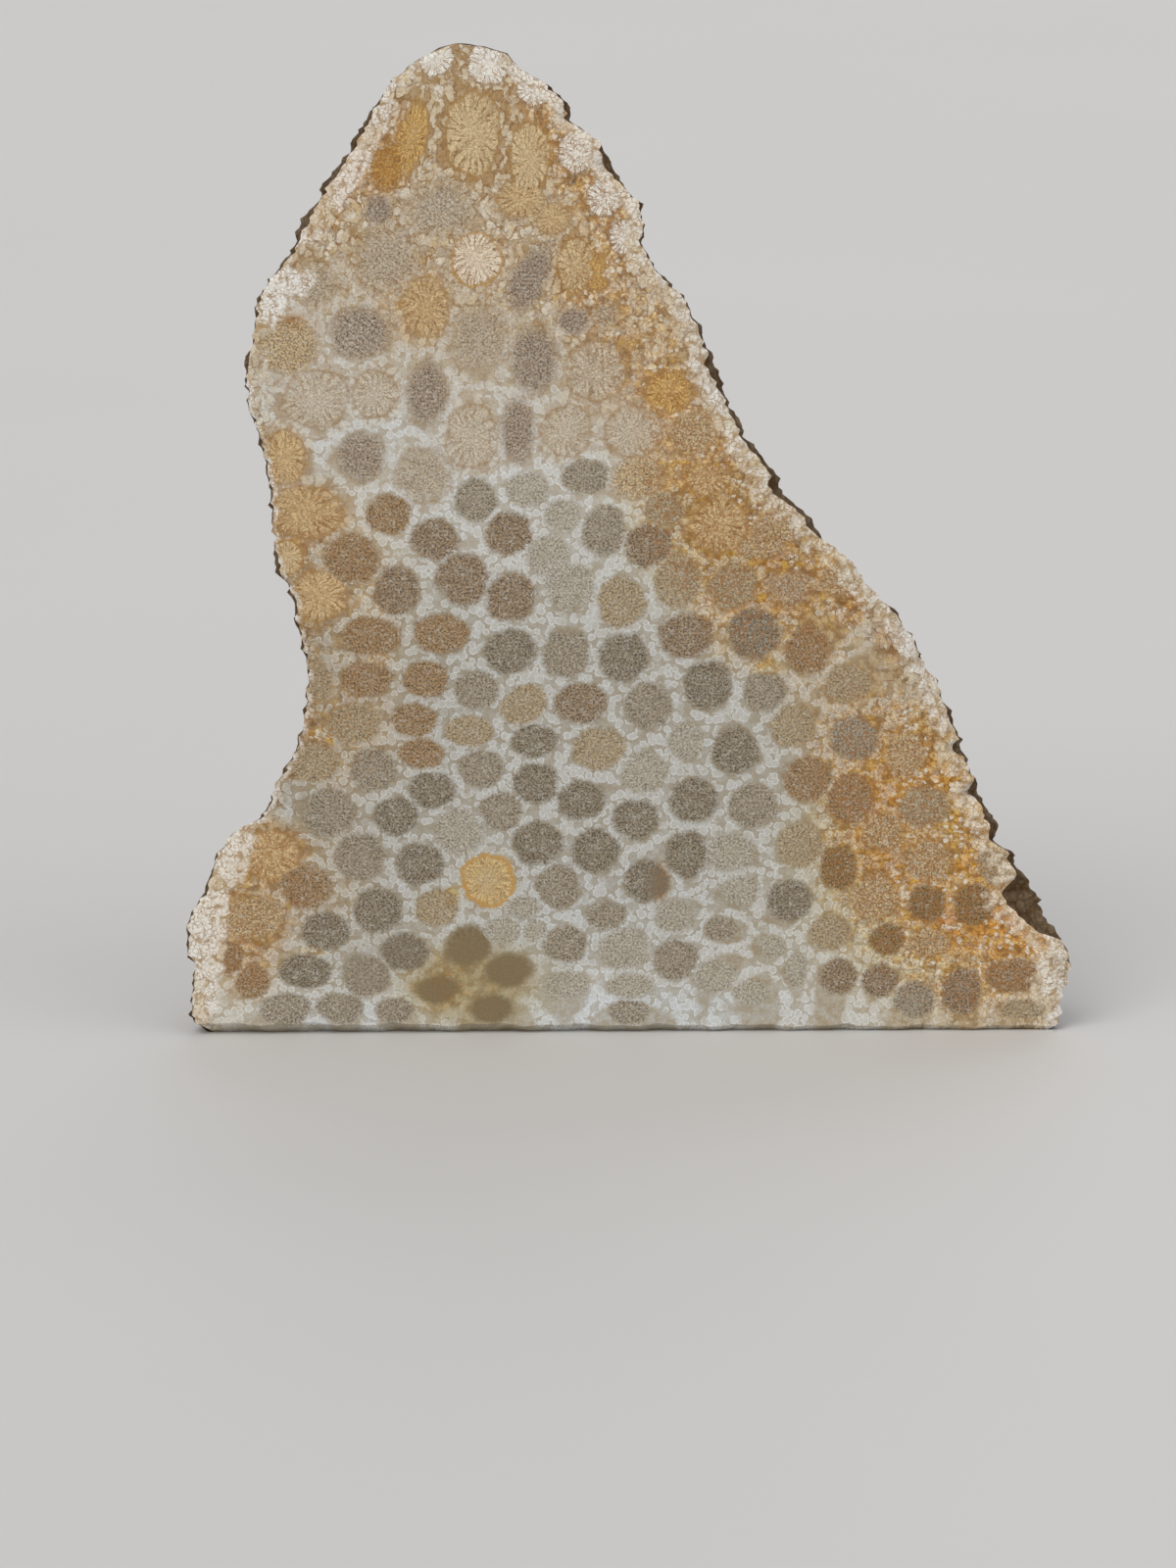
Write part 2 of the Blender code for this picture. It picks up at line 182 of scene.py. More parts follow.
# ---- mineral tones of the coral cups: colour; then speckle, septa lines, ring; then how
# soft the outline is, petals round the cup, how pale its heart is; then how solid it is ----
TONES = {
    "dark": ((0.228, 0.184, 0.124), (1.0, 0.10, 0.0), (0.1, 0.0, 0.08), 1.0),
    "umber": ((0.264, 0.184, 0.108), (1.0, 0.15, 0.0), (0.1, 0.0, 0.05), 1.0),
    "brown": ((0.312, 0.197, 0.094), (0.9, 0.20, 0.0), (0.1, 0.0, 0.05), 1.0),
    "grey": ((0.305, 0.252, 0.178), (0.9, 0.12, 0.0), (0.1, 0.0, 0.10), 1.0),
    "tan": ((0.380, 0.291, 0.172), (0.8, 0.20, 0.0), (0.1, 0.0, 0.10), 1.0),
    "pale": ((0.405, 0.366, 0.286), (0.9, 0.15, 0.0), (0.3, 0.0, 0.20), 0.85),
    "fuzzy": ((0.330, 0.250, 0.178), (1.0, 0.20, 0.0), (0.5, 0.2, 0.0), 1.0),
    "hazy": ((0.440, 0.358, 0.256), (0.9, 0.25, 0.0), (0.9, 0.3, 0.0), 0.8),
    "milky": ((0.590, 0.515, 0.400), (0.5, 0.70, 0.1), (0.4, 0.6, 0.0), 0.85),
    "orange": ((0.630, 0.455, 0.235), (0.4, 0.85, 0.2), (0.15, 0.7, 0.0), 1.0),
    "amber": ((0.670, 0.430, 0.142), (0.3, 1.00, 0.25), (0.1, 0.9, 0.1), 1.0),
    "russet": ((0.530, 0.295, 0.072), (0.4, 1.00, 0.20), (0.1, 0.9, 0.0), 1.0),
    "rusted": ((0.246, 0.150, 0.055), (0.9, 0.20, 0.0), (0.1, 0.0, 0.0), 1.0),
    "cream": ((0.690, 0.530, 0.300), (0.3, 0.90, 0.25), (0.0, 1.0, 0.0), 0.95),
    "white": ((0.820, 0.700, 0.540), (0.2, 1.00, 0.35), (0.0, 0.6, 0.0), 1.0),
    "chalky": ((0.900, 0.870, 0.790), (0.2, 1.00, 0.0), (0.0, 0.9, 0.0), 1.0),
    "smooth": ((0.252, 0.188, 0.098), (0.05, 0.0, 0.0), (0.3, 0.0, 0.0), 1.0),
    "mottled": ((0.485, 0.355, 0.195), (1.0, 0.45, 0.0), (0.3, 0.4, 0.0), 0.95),
    "ringed": ((0.640, 0.460, 0.210), (0.4, 0.60, 0.65), (0.0, 0.2, 0.3), 1.0),
}

# Coral cups on the plan of the face: across, down, half width, half height, tone and, where
# a cup leans, its tilt in degrees.
FACE_CUPS = [
    # left and middle
    (360, 571, 28, 26, "brown"), (405, 603, 24, 25, "umber"), (472, 590, 27, 27, "umber", 40),
    (326, 608, 28, 25, "orange"), (521, 610, 26, 25, "umber"), (378, 650, 30, 20, "brown"),
    (450, 646, 28, 21, "brown"), (520, 664, 27, 23, "dark"), (374, 694, 26, 19, "brown"),
    (435, 694, 24, 20, "brown"), (326, 698, 13, 18, "tan"), (486, 704, 23, 20, "grey"),
    (534, 720, 25, 20, "tan", 30), (362, 738, 27, 20, "tan"), (422, 735, 24, 18, "brown"),
    (479, 746, 26, 16, "tan"), (545, 756, 24, 17, "dark"), (429, 769, 23, 17, "brown"),
    (381, 785, 24, 23, "grey"), (491, 785, 24, 19, "grey"), (322, 778, 24, 21, "tan"),
    (545, 800, 24, 21, "dark"), (441, 807, 24, 19, "dark"), (511, 828, 22, 21, "grey"),
    (336, 830, 26, 26, "grey"), (404, 833, 23, 20, "dark"), (467, 850, 26, 25, "pale"),
    (581, 598, 27, 25, "pale"), (634, 614, 25, 26, "tan"), (691, 592, 24, 28, "tan"),
    (748, 598, 25, 23, "tan"), (808, 600, 23, 20, "hazy"), (700, 648, 28, 24, "umber"),
    (769, 645, 27, 25, "dark"), (636, 671, 26, 25, "dark"), (577, 667, 25, 25, "grey"),
    (824, 662, 23, 26, "brown"), (722, 698, 24, 25, "dark"), (780, 706, 22, 21, "grey"),
    (592, 718, 27, 22, "umber"), (660, 720, 24, 24, "grey"), (700, 757, 19, 20, "pale"),
    (749, 766, 24, 24, "dark"), (809, 741, 24, 21, "tan"), (611, 763, 27, 22, "tan"),
    (657, 788, 24, 23, "pale"), (824, 795, 25, 24, "brown"), (593, 817, 25, 21, "dark"),
    (707, 817, 25, 23, "dark"), (768, 823, 26, 23, "grey"), (648, 836, 24, 21, "dark"),
    # lower part
    (548, 861, 26, 23, "dark"), (607, 869, 25, 23, "dark"), (498, 899, 25, 26, "ringed"),
    (569, 905, 23, 23, "grey"), (659, 900, 22, 22, "dark"), (700, 871, 23, 24, "dark"),
    (428, 881, 24, 22, "dark"), (618, 934, 22, 15, "grey"), (688, 935, 20, 18, "pale"),
    (576, 963, 24, 19, "grey"), (477, 965, 26, 22, "smooth", 30), (636, 968, 26, 22, "pale"),
    (689, 979, 24, 21, "grey"), (518, 989, 26, 19, "smooth"), (577, 1005, 24, 16, "pale"),
    (643, 1006, 25, 14, "pale"), (502, 1029, 23, 16, "smooth"), (642, 1032, 21, 13, "grey"),
    (446, 926, 22, 20, "tan"), (533, 926, 20, 13, "pale"), (512, 950, 20, 14, "pale"),
    (545, 950, 13, 12, "pale"), (367, 875, 26, 25, "grey"), (312, 906, 26, 24, "brown"),
    (278, 872, 27, 25, "orange"), (385, 929, 25, 23, "dark"), (332, 950, 25, 20, "dark"),
    (413, 971, 24, 20, "dark"), (312, 991, 27, 19, "dark"), (373, 996, 25, 22, "grey"),
    (257, 938, 32, 22, "mottled"), (234, 977, 15, 17, "brown"), (258, 1002, 18, 19, "brown"),
    (292, 1030, 27, 16, "grey"), (347, 1028, 25, 16, "grey"), (402, 1031, 20, 13, "grey"),
    (447, 1010, 22, 16, "smooth"), (816, 862, 24, 24, "tan"), (745, 870, 25, 22, "pale"),
    (855, 885, 19, 24, "rusted"), (806, 918, 22, 22, "dark"), (755, 908, 20, 16, "pale"),
    (735, 948, 17, 12, "grey"), (867, 815, 24, 26, "brown"), (847, 951, 21, 20, "tan"),
    (787, 967, 14, 12, "pale"), (812, 990, 12, 18, "pale"), (728, 996, 23, 18, "pale"),
    (766, 1012, 20, 14, "pale"), (855, 996, 20, 19, "umber"), (897, 1000, 20, 18, "umber"),
    (893, 915, 23, 24, "mottled"), (902, 848, 22, 21, "mottled"), (948, 877, 25, 20, "mottled"),
    (945, 922, 19, 19, "rusted"), (995, 923, 22, 21, "rusted"), (906, 958, 18, 17, "rusted"),
    (934, 1020, 22, 20, "grey"), (982, 1012, 21, 25, "umber"), (1036, 995, 30, 18, "brown"),
    (948, 962, 22, 14, "mottled"), (1016, 882, 19, 22, "tan"), (1080, 985, 12, 26, "tan"),
    (1045, 1030, 25, 10, "tan"),
    # right slope
    (872, 753, 26, 22, "grey"), (924, 770, 21, 22, "mottled"), (943, 822, 26, 22, "tan"),
    (865, 697, 24, 20, "tan"), (796, 537, 28, 16, "mottled"), (733, 535, 28, 26, "orange"),
    (722, 488, 22, 15, "orange"), (705, 442, 24, 20, "mottled"), (775, 558, 22, 12, "mottled"),
    (860, 590, 22, 18, "mottled"),
    # upper part, cut along rather than across
    (545, 369, 24, 33, "fuzzy"), (608, 378, 30, 31, "milky"), (682, 398, 23, 21, "amber"),
    (528, 440, 17, 34, "fuzzy"), (577, 440, 25, 24, "milky"), (645, 441, 28, 26, "milky"),
    (597, 487, 24, 18, "grey"), (650, 487, 26, 21, "mottled"), (538, 500, 22, 19, "pale"),
    (573, 526, 20, 17, "pale"), (519, 545, 24, 22, "umber"), (616, 541, 23, 25, "grey", -20),
    (661, 556, 25, 23, "umber"), (558, 566, 23, 22, "pale"), (678, 520, 20, 18, "tan"),
    (367, 340, 30, 27, "fuzzy"), (437, 402, 21, 34, "fuzzy"), (322, 408, 32, 29, "milky"),
    (382, 402, 22, 22, "milky"), (368, 467, 24, 24, "fuzzy"), (432, 486, 28, 28, "hazy"),
    (485, 511, 22, 21, "grey"), (397, 525, 23, 22, "brown"), (443, 551, 24, 22, "umber"),
    (295, 355, 30, 28, "mottled"), (291, 468, 20, 26, "orange"), (312, 523, 34, 25, "orange"),
    (480, 446, 25, 31, "milky"), (488, 345, 30, 33, "hazy"), (434, 313, 22, 30, "orange"),
    (294, 570, 15, 17, "cream"), (485, 265, 24, 25, "white"), (420, 142, 14, 36, "amber", -12),
    (396, 170, 16, 24, "russet", -15), (483, 138, 26, 42, "cream"), (540, 163, 19, 38, "cream"),
    (532, 203, 24, 18, "orange"), (445, 60, 17, 18, "chalky"), (497, 66, 20, 20, "chalky"),
    (545, 92, 18, 15, "chalky"), (588, 155, 18, 22, "chalky"), (617, 200, 18, 20, "chalky"),
    (638, 242, 16, 17, "chalky"), (386, 215, 14, 15, "fuzzy"), (394, 267, 31, 33, "hazy"),
    (448, 215, 36, 26, "hazy"), (540, 285, 18, 36, "fuzzy", -25), (587, 272, 17, 28, "cream"),
    (609, 270, 9, 10, "amber"), (609, 288, 9, 8, "amber"), (564, 223, 16, 15, "orange"),
    (585, 327, 16, 13, "fuzzy"), (616, 322, 17, 15, "hazy"), (322, 292, 22, 22, "hazy"),
]

# ---- what iron and clay have done to the stone, with painted shade in pits and a painted sky reflection: how each stain multiplies its colour ----
STAINS = {
    "amber": (1.02, 0.77, 0.40),
    "rust": (0.90, 0.60, 0.30),
    "yellow": (1.15, 0.95, 0.36),
    "umber": (0.82, 0.64, 0.44),
    "olive": (0.92, 0.86, 0.64),
    # painted reflection: a bluish sheen of the sky on the polish
    "painted_sky_reflection": (1.04, 1.12, 1.26),
    "bleach": (1.25, 1.30, 1.40),
    "shade": (0.80, 0.79, 0.77),
    # painted shade: the dark of pits in the face and of the bite on its right
    "painted_hollow_shade": (0.14, 0.10, 0.07),
}
# Stains on the same plan: across, down, half width, half height, tilt, strength.
FACE_STAINS = {
    "shade": [
        (610, 790, 430, 240, 0, 1.0), (950, 880, 110, 140, 20, 0.35), (340, 920, 100, 110, 0, 0.6),
        (300, 660, 62, 170, 0, 1.0), (390, 700, 110, 150, 0, 0.4), (770, 550, 110, 70, -40, 1.2),
    ],
    "amber": [
        (480, 215, 250, 225, 0, 0.25), (960, 850, 95, 165, 30, 0.75), (1010, 975, 90, 80, 0, 0.45),
        (600, 170, 40, 120, 30, 0.5), (225, 950, 50, 100, 0, 0.3), (925, 800, 42, 45, 0, 0.5),
        (1020, 950, 70, 30, -10, 0.6), (290, 465, 26, 38, 0, 0.4), (262, 925, 46, 92, 0, 0.6),
        (282, 868, 40, 32, 0, 0.4), (335, 640, 85, 150, 0, 0.5), (350, 760, 70, 60, 0, 0.35),
        (330, 890, 60, 70, 0, 0.35), (748, 642, 40, 46, 0, 0.45), (760, 560, 120, 75, -40, 0.8),
        (682, 398, 30, 30, 0, 0.45), (700, 455, 55, 50, -40, 0.65), (650, 360, 60, 70, -30, 0.5),
        (790, 600, 60, 30, 0, 0.5), (420, 310, 40, 40, 0, 0.3), (600, 285, 40, 40, 0, 0.4),
        (860, 720, 70, 120, 25, 0.45), (900, 860, 60, 60, 0, 0.4), (880, 840, 26, 60, 10, 0.4),
    ],
    "rust": [
        (395, 160, 26, 44, -15, 0.5), (345, 190, 20, 60, -30, 0.5), (965, 935, 13, 12, 0, 0.6),
        (930, 905, 60, 45, 0, 0.30), (308, 530, 42, 34, 0, 0.40), (868, 620, 16, 20, 0, 0.6),
        (905, 650, 12, 30, 20, 0.5), (785, 565, 20, 14, 0, 0.6), (430, 769, 24, 17, 0, 0.35),
        (300, 330, 14, 8, 0, 0.6),
    ],
    "yellow": [
        (945, 880, 125, 150, 20, 0.68), (990, 885, 14, 14, 0, 0.9), (460, 915, 9, 11, 0, 0.9),
        (498, 899, 28, 29, 0, 0.35), (760, 560, 140, 90, -40, 0.4), (842, 572, 15, 12, 0, 0.9),
        (966, 796, 14, 10, 0, 0.7), (780, 680, 16, 10, 0, 0.5), (330, 752, 14, 10, 0, 0.6),
        (387, 674, 12, 7, 0, 0.5), (320, 970, 16, 7, 0, 0.5),
    ],
    "umber": [
        (250, 975, 36, 30, 0, 0.3), (672, 900, 13, 22, 0, 1.2),
    ],
    "olive": [
        (485, 1003, 78, 50, 0, 0.9), (445, 1005, 40, 35, 0, 0.5),
    ],
    # painted reflection: a bluish sky sheen over the middle of the polish and along its foot
    "painted_sky_reflection": [
        (660, 1030, 160, 26, 0, 0.9), (340, 1034, 80, 16, 0, 0.9), (590, 820, 190, 150, 0, 0.20),
        (620, 940, 130, 70, 0, 0.4), (560, 600, 130, 120, 0, 0.15), (430, 470, 130, 80, 0, 0.30),
        (370, 420, 90, 50, 0, 0.4),
    ],
    "bleach": [
        (545, 1028, 30, 18, 0, 0.3), (600, 1010, 36, 30, 0, 0.35),
    ],
    # painted shade in pits of the face and in the bite on its right
    "painted_hollow_shade": [
        (977, 762, 11, 7, 0, 0.9), (990, 806, 10, 9, 40, 0.9), (576, 116, 7, 8, -40, 0.7),
        (612, 166, 8, 12, 30, 0.5), (584, 181, 5, 7, 0, 0.6), (1040, 905, 14, 12, 0, 0.7),
    ],
}
# White calcite crust and blurred, clear calcite, on the same plan: across, down, half width,
# half height, tilt, strength.
CRUSTS = [
    (212, 950, 22, 85, -6, 1.0), (236, 880, 20, 40, -30, 0.9), (275, 305, 24, 42, -25, 0.9),
    (205, 1025, 20, 22, 0, 0.9), (640, 242, 20, 20, 0, 0.35), (590, 155, 22, 24, 0, 0.35),
    (300, 290, 30, 18, 20, 0.6), (268, 380, 12, 60, 0, 0.35), (360, 176, 12, 88, -30, 0.75),
    (1070, 1000, 24, 40, 0, 0.6),
]
CLEAR = [
    (485, 1003, 70, 44, 0, 1.0), (400, 985, 60, 40, 0, 0.35), (672, 900, 13, 22, 0, 0.9),
]
STRIPED = [
    (367, 340, 34, 30, 0, 1.0), (394, 267, 33, 33, 0, 0.8), (448, 215, 40, 28, 0, 0.7),
    (643, 1030, 26, 16, 0, 0.8), (300, 1030, 60, 18, 0, 0.7),
]




# ---------------------------------------------------------------- shape of the solid

def face_y(z):
    """Y of the sawn plane: its foot, less the height times the tangent of the lean."""
    return FACE_FOOT_Y - z * math.tan(math.radians(FACE_LEAN_DEG))


def along(points, z):
    """The x of a face edge at heights z: straight lines between the edge's points."""
    return np.interp(z, [p[1] for p in points], [p[0] for p in points])


def chip(points, z):
    """How far the rind stands outside the face edge: straight lines between the points."""
    return np.interp(z, [p[0] for p in points], [p[1] for p in points])


def ease(share):
    """Smooth step from 0 to 1: three shares squared less two cubed."""
    share = np.clip(share, 0.0, 1.0)
    return share * share * (3.0 - 2.0 * share)


def lerp(first, second, share):
    """First value at share 0, second at share 1, a straight line between."""
    return first + (second - first) * share


def ragged(z, start):
    """Small in and out of a face edge: four sines of the height, none of them in step."""
    wave = sum(np.sin(z * pace + start * order) for order, pace in enumerate(RAGGED_PACES, 1))
    return 0.5 * RAGGED * wave * ease(z / RAGGED_FADE) * ease((TOP_SECTION - z) / RAGGED_FADE)


def left_edge(z):
    """Left edge of the face: straight lines between its points, and a small wavering."""
    return along(LEFT_EDGE, z) + ragged(z, RAGGED_STARTS[0])


def right_edge(z):
    """Right edge of the face: straight lines between its points, and a small wavering."""
    return along(RIGHT_EDGE, z) + ragged(z, RAGGED_STARTS[1])


def section_heights(count):
    """Row heights, even in travel: height plus how far the edges run sideways meanwhile."""
    z = np.linspace(0.0, TOP_SECTION, TRAVEL_STEPS)
    run = 0.5 * sum(np.abs(np.gradient(along(edge, z))) for edge in (LEFT_EDGE, RIGHT_EDGE))
    travel = np.cumsum(np.hypot(np.gradient(z), run))
    travel = (travel - travel[0]) / (travel[-1] - travel[0])
    return np.interp(np.linspace(0.0, 1.0, count), travel, z)


def foot_height(share):
    """Height of the broken foot edge: a straight line from left to right, with small chips."""
    chips = sum(tall * np.sin(share * pace + start) for tall, pace, start in FOOT_CHIPS)
    chips = chips * ease(share / FOOT_FADE) * ease((1.0 - share) / FOOT_FADE)
    return lerp(FOOT_LEFT, FOOT_RIGHT, share) + chips


def row_heights(share):
    """Heights of a grid point by row and share of the way across: a first row on the base, and
    rows above it from the foot edge up, squeezed so that all of them end level at the top."""
    heights = section_heights(ROWS)[:, None]
    tall = foot_height(share)[None, :]
    upper = heights + tall * (1.0 - heights / TOP_SECTION)
    return np.concatenate([0.0 * tall, upper])


def behind_foot(points, share):
    """Keeps points out of the broken foot edge: a plane from the face at its height down to
    the base behind it. A point in front of that plane is moved straight back to it."""
    tall = foot_height(share)[None, :]
    lean = math.tan(math.radians(FACE_LEAN_DEG))
    down = np.clip(1.0 - points[..., 2] / tall, 0.0, 1.0)
    limit = FACE_FOOT_Y - tall * lean + down * (tall * FOOT_SLOPE + tall * lean)
    cut = np.where(down > 0.0, np.maximum(points[..., 1], limit), points[..., 1])
    return np.stack([points[..., 0], cut, points[..., 2]], axis=-1)


def back_depth(z):
    """Distance from the face to the middle of the back: full at the bulge, tucked in by the
    square of the way down below it, and above it the root of one less the way up to a power."""
    above = np.clip((z - BACK_BULGE_Z) / (HEIGHT - BACK_BULGE_Z), 0.0, 1.0)
    below = np.clip(1.0 - z / BACK_BULGE_Z, 0.0, 1.0)
    return DEPTH * (1.0 - BACK_TUCK * below ** 2) * np.sqrt(1.0 - above ** BACK_SHOULDER)


def calm(points, z):
    """A face edge with its nicks evened out: a weighted mean of several heights about z."""
    steps = np.linspace(-1.0, 1.0, CALM_STEPS)
    weights = 1.0 - CALM_FADE * steps ** 2
    shifted = [along(points, np.clip(z + s * CALM_SPAN, 0.0, HEIGHT)) for s in steps]
    return sum(w * x for w, x in zip(weights, shifted)) / weights.sum()


def smooth_rind(z, turn):
    """Points of the rind without lumps. A level section is a bow: x goes with the cosine of
    half a turn and depth with its sine, both to a power below one, between the face's edges.
    Behind the face the outline drops in proportion to the depth, and draws in a little."""
    cosine = np.cos(math.pi * turn)
    bow_x = np.sign(cosine) * np.abs(cosine) ** (2.0 / BOW_POWER)
    bow_y = np.abs(np.sin(math.pi * turn)) ** (2.0 / BOW_POWER)
    behind = back_depth(z) * bow_y
    level = z + np.minimum(FALL_BACK * behind, FALL_MOST * (HEIGHT - z))
    calmed = ease(behind / CALM_REACH)
    inset = SIDE_INSET * ease(behind / SIDE_REACH)
    left = left_edge(level)
    right = right_edge(level)
    left += (np.maximum(calm(LEFT_EDGE, level), left - CALM_STAND) - left) * calmed
    right += (np.minimum(calm(RIGHT_EDGE, level), right + CALM_STAND) - right) * calmed
    inset = np.minimum(inset, INSET_MOST * (right - left))
    side = np.where(turn < 0.5, -chip(LEFT_CHIPS, level), chip(RIGHT_CHIPS, level))
    side = side * ease(behind / CHIP_REACH) * (1.0 - calmed)
    x = 0.5 * (left + right) - (0.5 * (right - left) - inset) * bow_x + side
    return np.stack([x, face_y(z) + behind, z + 0.0 * turn], axis=-1)


def lump_field(points, size, seed, waves=WAVES):
    """Smooth lumps about `size` across, roughly -1 to 1: sine waves in scattered directions."""
    rng = np.random.RandomState(seed)
    ways = rng.normal(size=(waves, 3))
    ways /= np.linalg.norm(ways, axis=1)[:, None]
    pace = math.pi / (size * rng.uniform(*WAVE_SPREAD, waves))
    start = rng.uniform(0.0, 2.0 * math.pi, waves)
    return np.sin((points @ ways.T) * pace + start).sum(axis=-1) / math.sqrt(waves)


def cup_centres():
    """Middles of the rind's coral cups: rows up the rind, each shifted half a cup from the last."""
    rng = np.random.RandomState(CUP_SEED)
    centres = []
    for row, z in enumerate(np.arange(0.5 * CUP_PITCH, HEIGHT, CUP_ROW_STEP * CUP_PITCH)):
        width = float(along(RIGHT_EDGE, z) - along(LEFT_EDGE, z))
        length = width + CUP_ROW_DEPTH * float(back_depth(z))
        count = max(2, int(round(length / CUP_PITCH)))
        turn = (np.arange(count) + CUP_ROW_SHIFT * (row % 2) + CUP_ROW_START) / count
        turn = turn + CUP_JITTER * rng.uniform(-1.0, 1.0, count) / count
        level = z + CUP_JITTER * CUP_PITCH * rng.uniform(-1.0, 1.0, count)
        level = np.clip(level, CUP_LOWEST, TOP_SECTION)
        centres.append(smooth_rind(level, np.clip(turn, *CUP_TURNS)))
    return np.concatenate(centres)


def nearest(points, centres):
    """Distance to the nearest centre and which one it is, from the squares multiplied out."""
    flat = points.reshape(-1, 3)
    gap = (flat ** 2).sum(1)[:, None] + (centres ** 2).sum(1)[None, :] - 2.0 * flat @ centres.T
    which = gap.argmin(1)
    away = np.sqrt(np.maximum(gap[np.arange(len(flat)), which], 0.0))
    return away.reshape(points.shape[:-1]), which.reshape(points.shape[:-1])


def outward(points, z):
    """Level direction out of the head: away from the middle of the face, the depth counting
    somewhat more, cut to a length of one."""
    middle = 0.5 * (calm(LEFT_EDGE, z) + calm(RIGHT_EDGE, z))
    behind = points[..., 1] - face_y(z)
    out = np.stack([points[..., 0] - middle, OUT_BIAS * behind, 0.0 * middle], axis=-1)
    return out / np.maximum(np.linalg.norm(out, axis=-1), 1.0)[..., None]


def rind(z, turn):
    """Points of the rough rind. The smooth bow is pushed out by broad lumps, knobs, cups (a pit
    and the low wall round it, both bells of the distance to the middle) and fine grit, all of
    them fading in behind the face."""
    points = smooth_rind(z, turn)
    behind = points[..., 1] - face_y(z)
    away, _ = nearest(points, cup_centres())
    pit = np.exp(-(away / CUP_RADIUS) ** 2)
    wall = np.exp(-((away - CUP_RIM_RADIUS) / CUP_RIM_WIDTH) ** 2)
    height = BIG_LUMP * lump_field(points, BIG_LUMP_SIZE, BIG_LUMP_SEED)
    height += SMALL_LUMP * lump_field(points, SMALL_LUMP_SIZE, SMALL_LUMP_SEED)
    height += CUP_RIM * wall - CUP_DEPTH * pit
    height *= ease(behind / LUMP_REACH)
    fine = lump_field(points, FINE_GRIT * GRIT_SIZE, FINE_GRIT_SEED, GRIT_WAVES)
    grit = GRIT * lump_field(points, GRIT_SIZE, GRIT_SEED, GRIT_WAVES)
    grit += FINE_GRIT * GRIT * np.abs(fine)
    height += grit * ease(behind / GRIT_REACH)
    return points + outward(points, z) * height[..., None]


def rim_distance(x, z):
    """Millimetres from points of the face to its nearest edge, measured to closely spaced
    points along both edges."""
    level = section_heights(EDGE_POINTS)
    spots = np.concatenate([np.stack([edge(level), 0.0 * level, level], axis=-1)
                            for edge in (left_edge, right_edge)])
    points = np.stack([x, 0.0 * x, z], axis=-1)
    return nearest(points, spots)[0]


def sawn_face(z, share):
    """Points of the face grid and how far each is from the rim: straight across from edge to
    edge in the leaning plane, worn back by the square of the nearness to the rim, and a
    little uneven there."""
    x = lerp(left_edge(z), right_edge(z), share)
    rim = rim_distance(x, z)
    near = np.clip(1.0 - rim / RIM_ROUND, 0.0, 1.0)
    flat = np.stack([x, 0.0 * x, z], axis=-1)
    grains = lump_field(flat, RIM_GRAIN_SIZE, RIM_GRAIN_SEED, RIM_GRAIN_WAVES)
    back = RIM_DROP * near ** 2
    back += RIM_GRAIN * (grains + RIM_GRAIN_LIFT) * ease(1.0 - rim / RIM_GRAIN_REACH)
    back *= ease((z - foot_height(share)[None, :]) / RIM_FOOT)
    return np.stack([x, face_y(z) + back, z], axis=-1), rim


# ---------------------------------------------------------------- what the face shows

def on_face(across, down):
    """The x and z of a place on the plan of the face, whose steps are about a fifth of a
    millimetre: straight lines with a slight foreshortening up the plan."""
    right = across - PLAN_ACROSS
    low = down - PLAN_DOWN
    x = PLAN_X + (STEP_ACROSS + STEP_ACROSS_CHANGE * low) * right + STEP_SLIDE * low
    z = PLAN_Z - STEP_SINK * right - STEP_DOWN * low - STEP_DOWN_CHANGE * low ** 2
    return x, z


def plan_ovals(rows):
    """Ovals of the plan in millimetres: middle x and z, half width, half height, tilt."""
    across, down, wide, tall, tilt = np.array([row[:5] for row in rows], float).T
    x, z = on_face(across, down)
    return np.stack([x, z, OVAL_ACROSS * wide, OVAL_DOWN * tall, np.radians(tilt)], axis=-1)


def in_oval(x, z, oval):
    """Place of points inside ovals, in half widths and half heights along the tilted axes."""
    dx, dz = x - oval[:, 0], z - oval[:, 1]
    cosine, sine = np.cos(oval[:, 4]), np.sin(oval[:, 4])
    return (dx * cosine + dz * sine) / oval[:, 2], (dz * cosine - dx * sine) / oval[:, 3]


def soft_spots(x, z, rows):
    """Strength of each soft oval patch at the points: its own strength at the middle, eased
    away to nothing just past its outline."""
    away = np.hypot(*in_oval(x[..., None], z[..., None], plan_ovals(rows)))
    return ease(SPOT_FULL - SPOT_FALL * away) * np.array([row[-1] for row in rows], float)


def stain_colour(x, z):
    """Colour by which the stains multiply the stone: the product of all of them, painted shade in
    pits and a painted sky reflection among them.
    """
    strength = soft_spots(x, z, [spot for spots in FACE_STAINS.values() for spot in spots])
    tints = np.array([STAINS[name] for name, spots in FACE_STAINS.items() for _ in spots])
    return np.prod(1.0 + strength[..., None] * (tints - 1.0), axis=-2)


def grain_and_crust(x, z, rim):
    """How grainy and how crusted the face is: the stronger of the bands along the rim, the
    zones eased in across the face, and, for the crust, its own patches."""
    right_side = ease((x - lerp(left_edge(z), right_edge(z), 0.5)) / RIGHT_SIDE_OVER)
    upper = ease((z - UPPER_FROM + UPPER_SLOPE * x) / UPPER_OVER)
    corner = ease((x - CORNER_X) / CORNER_X_OVER) * CORNER_GRAIN
    corner *= ease((CORNER_Z - z) / CORNER_Z_OVER)
    grain = np.maximum(ease(GRAIN_BAND_FULL - rim / lerp(*GRAIN_BANDS, right_side)), upper)
    high = ease((z - HIGH_FROM) / HIGH_OVER)
    left, right, strength = (lerp(low, up, high) for low, up in zip(CRUST_LOW, CRUST_HIGH))
    band = strength * ease(CRUST_BAND_FULL - rim / lerp(left, right, right_side))
    return np.maximum(grain, corner), np.maximum(soft_spots(x, z, CRUSTS).max(-1), band)


# ---------------------------------------------------------------- the mesh

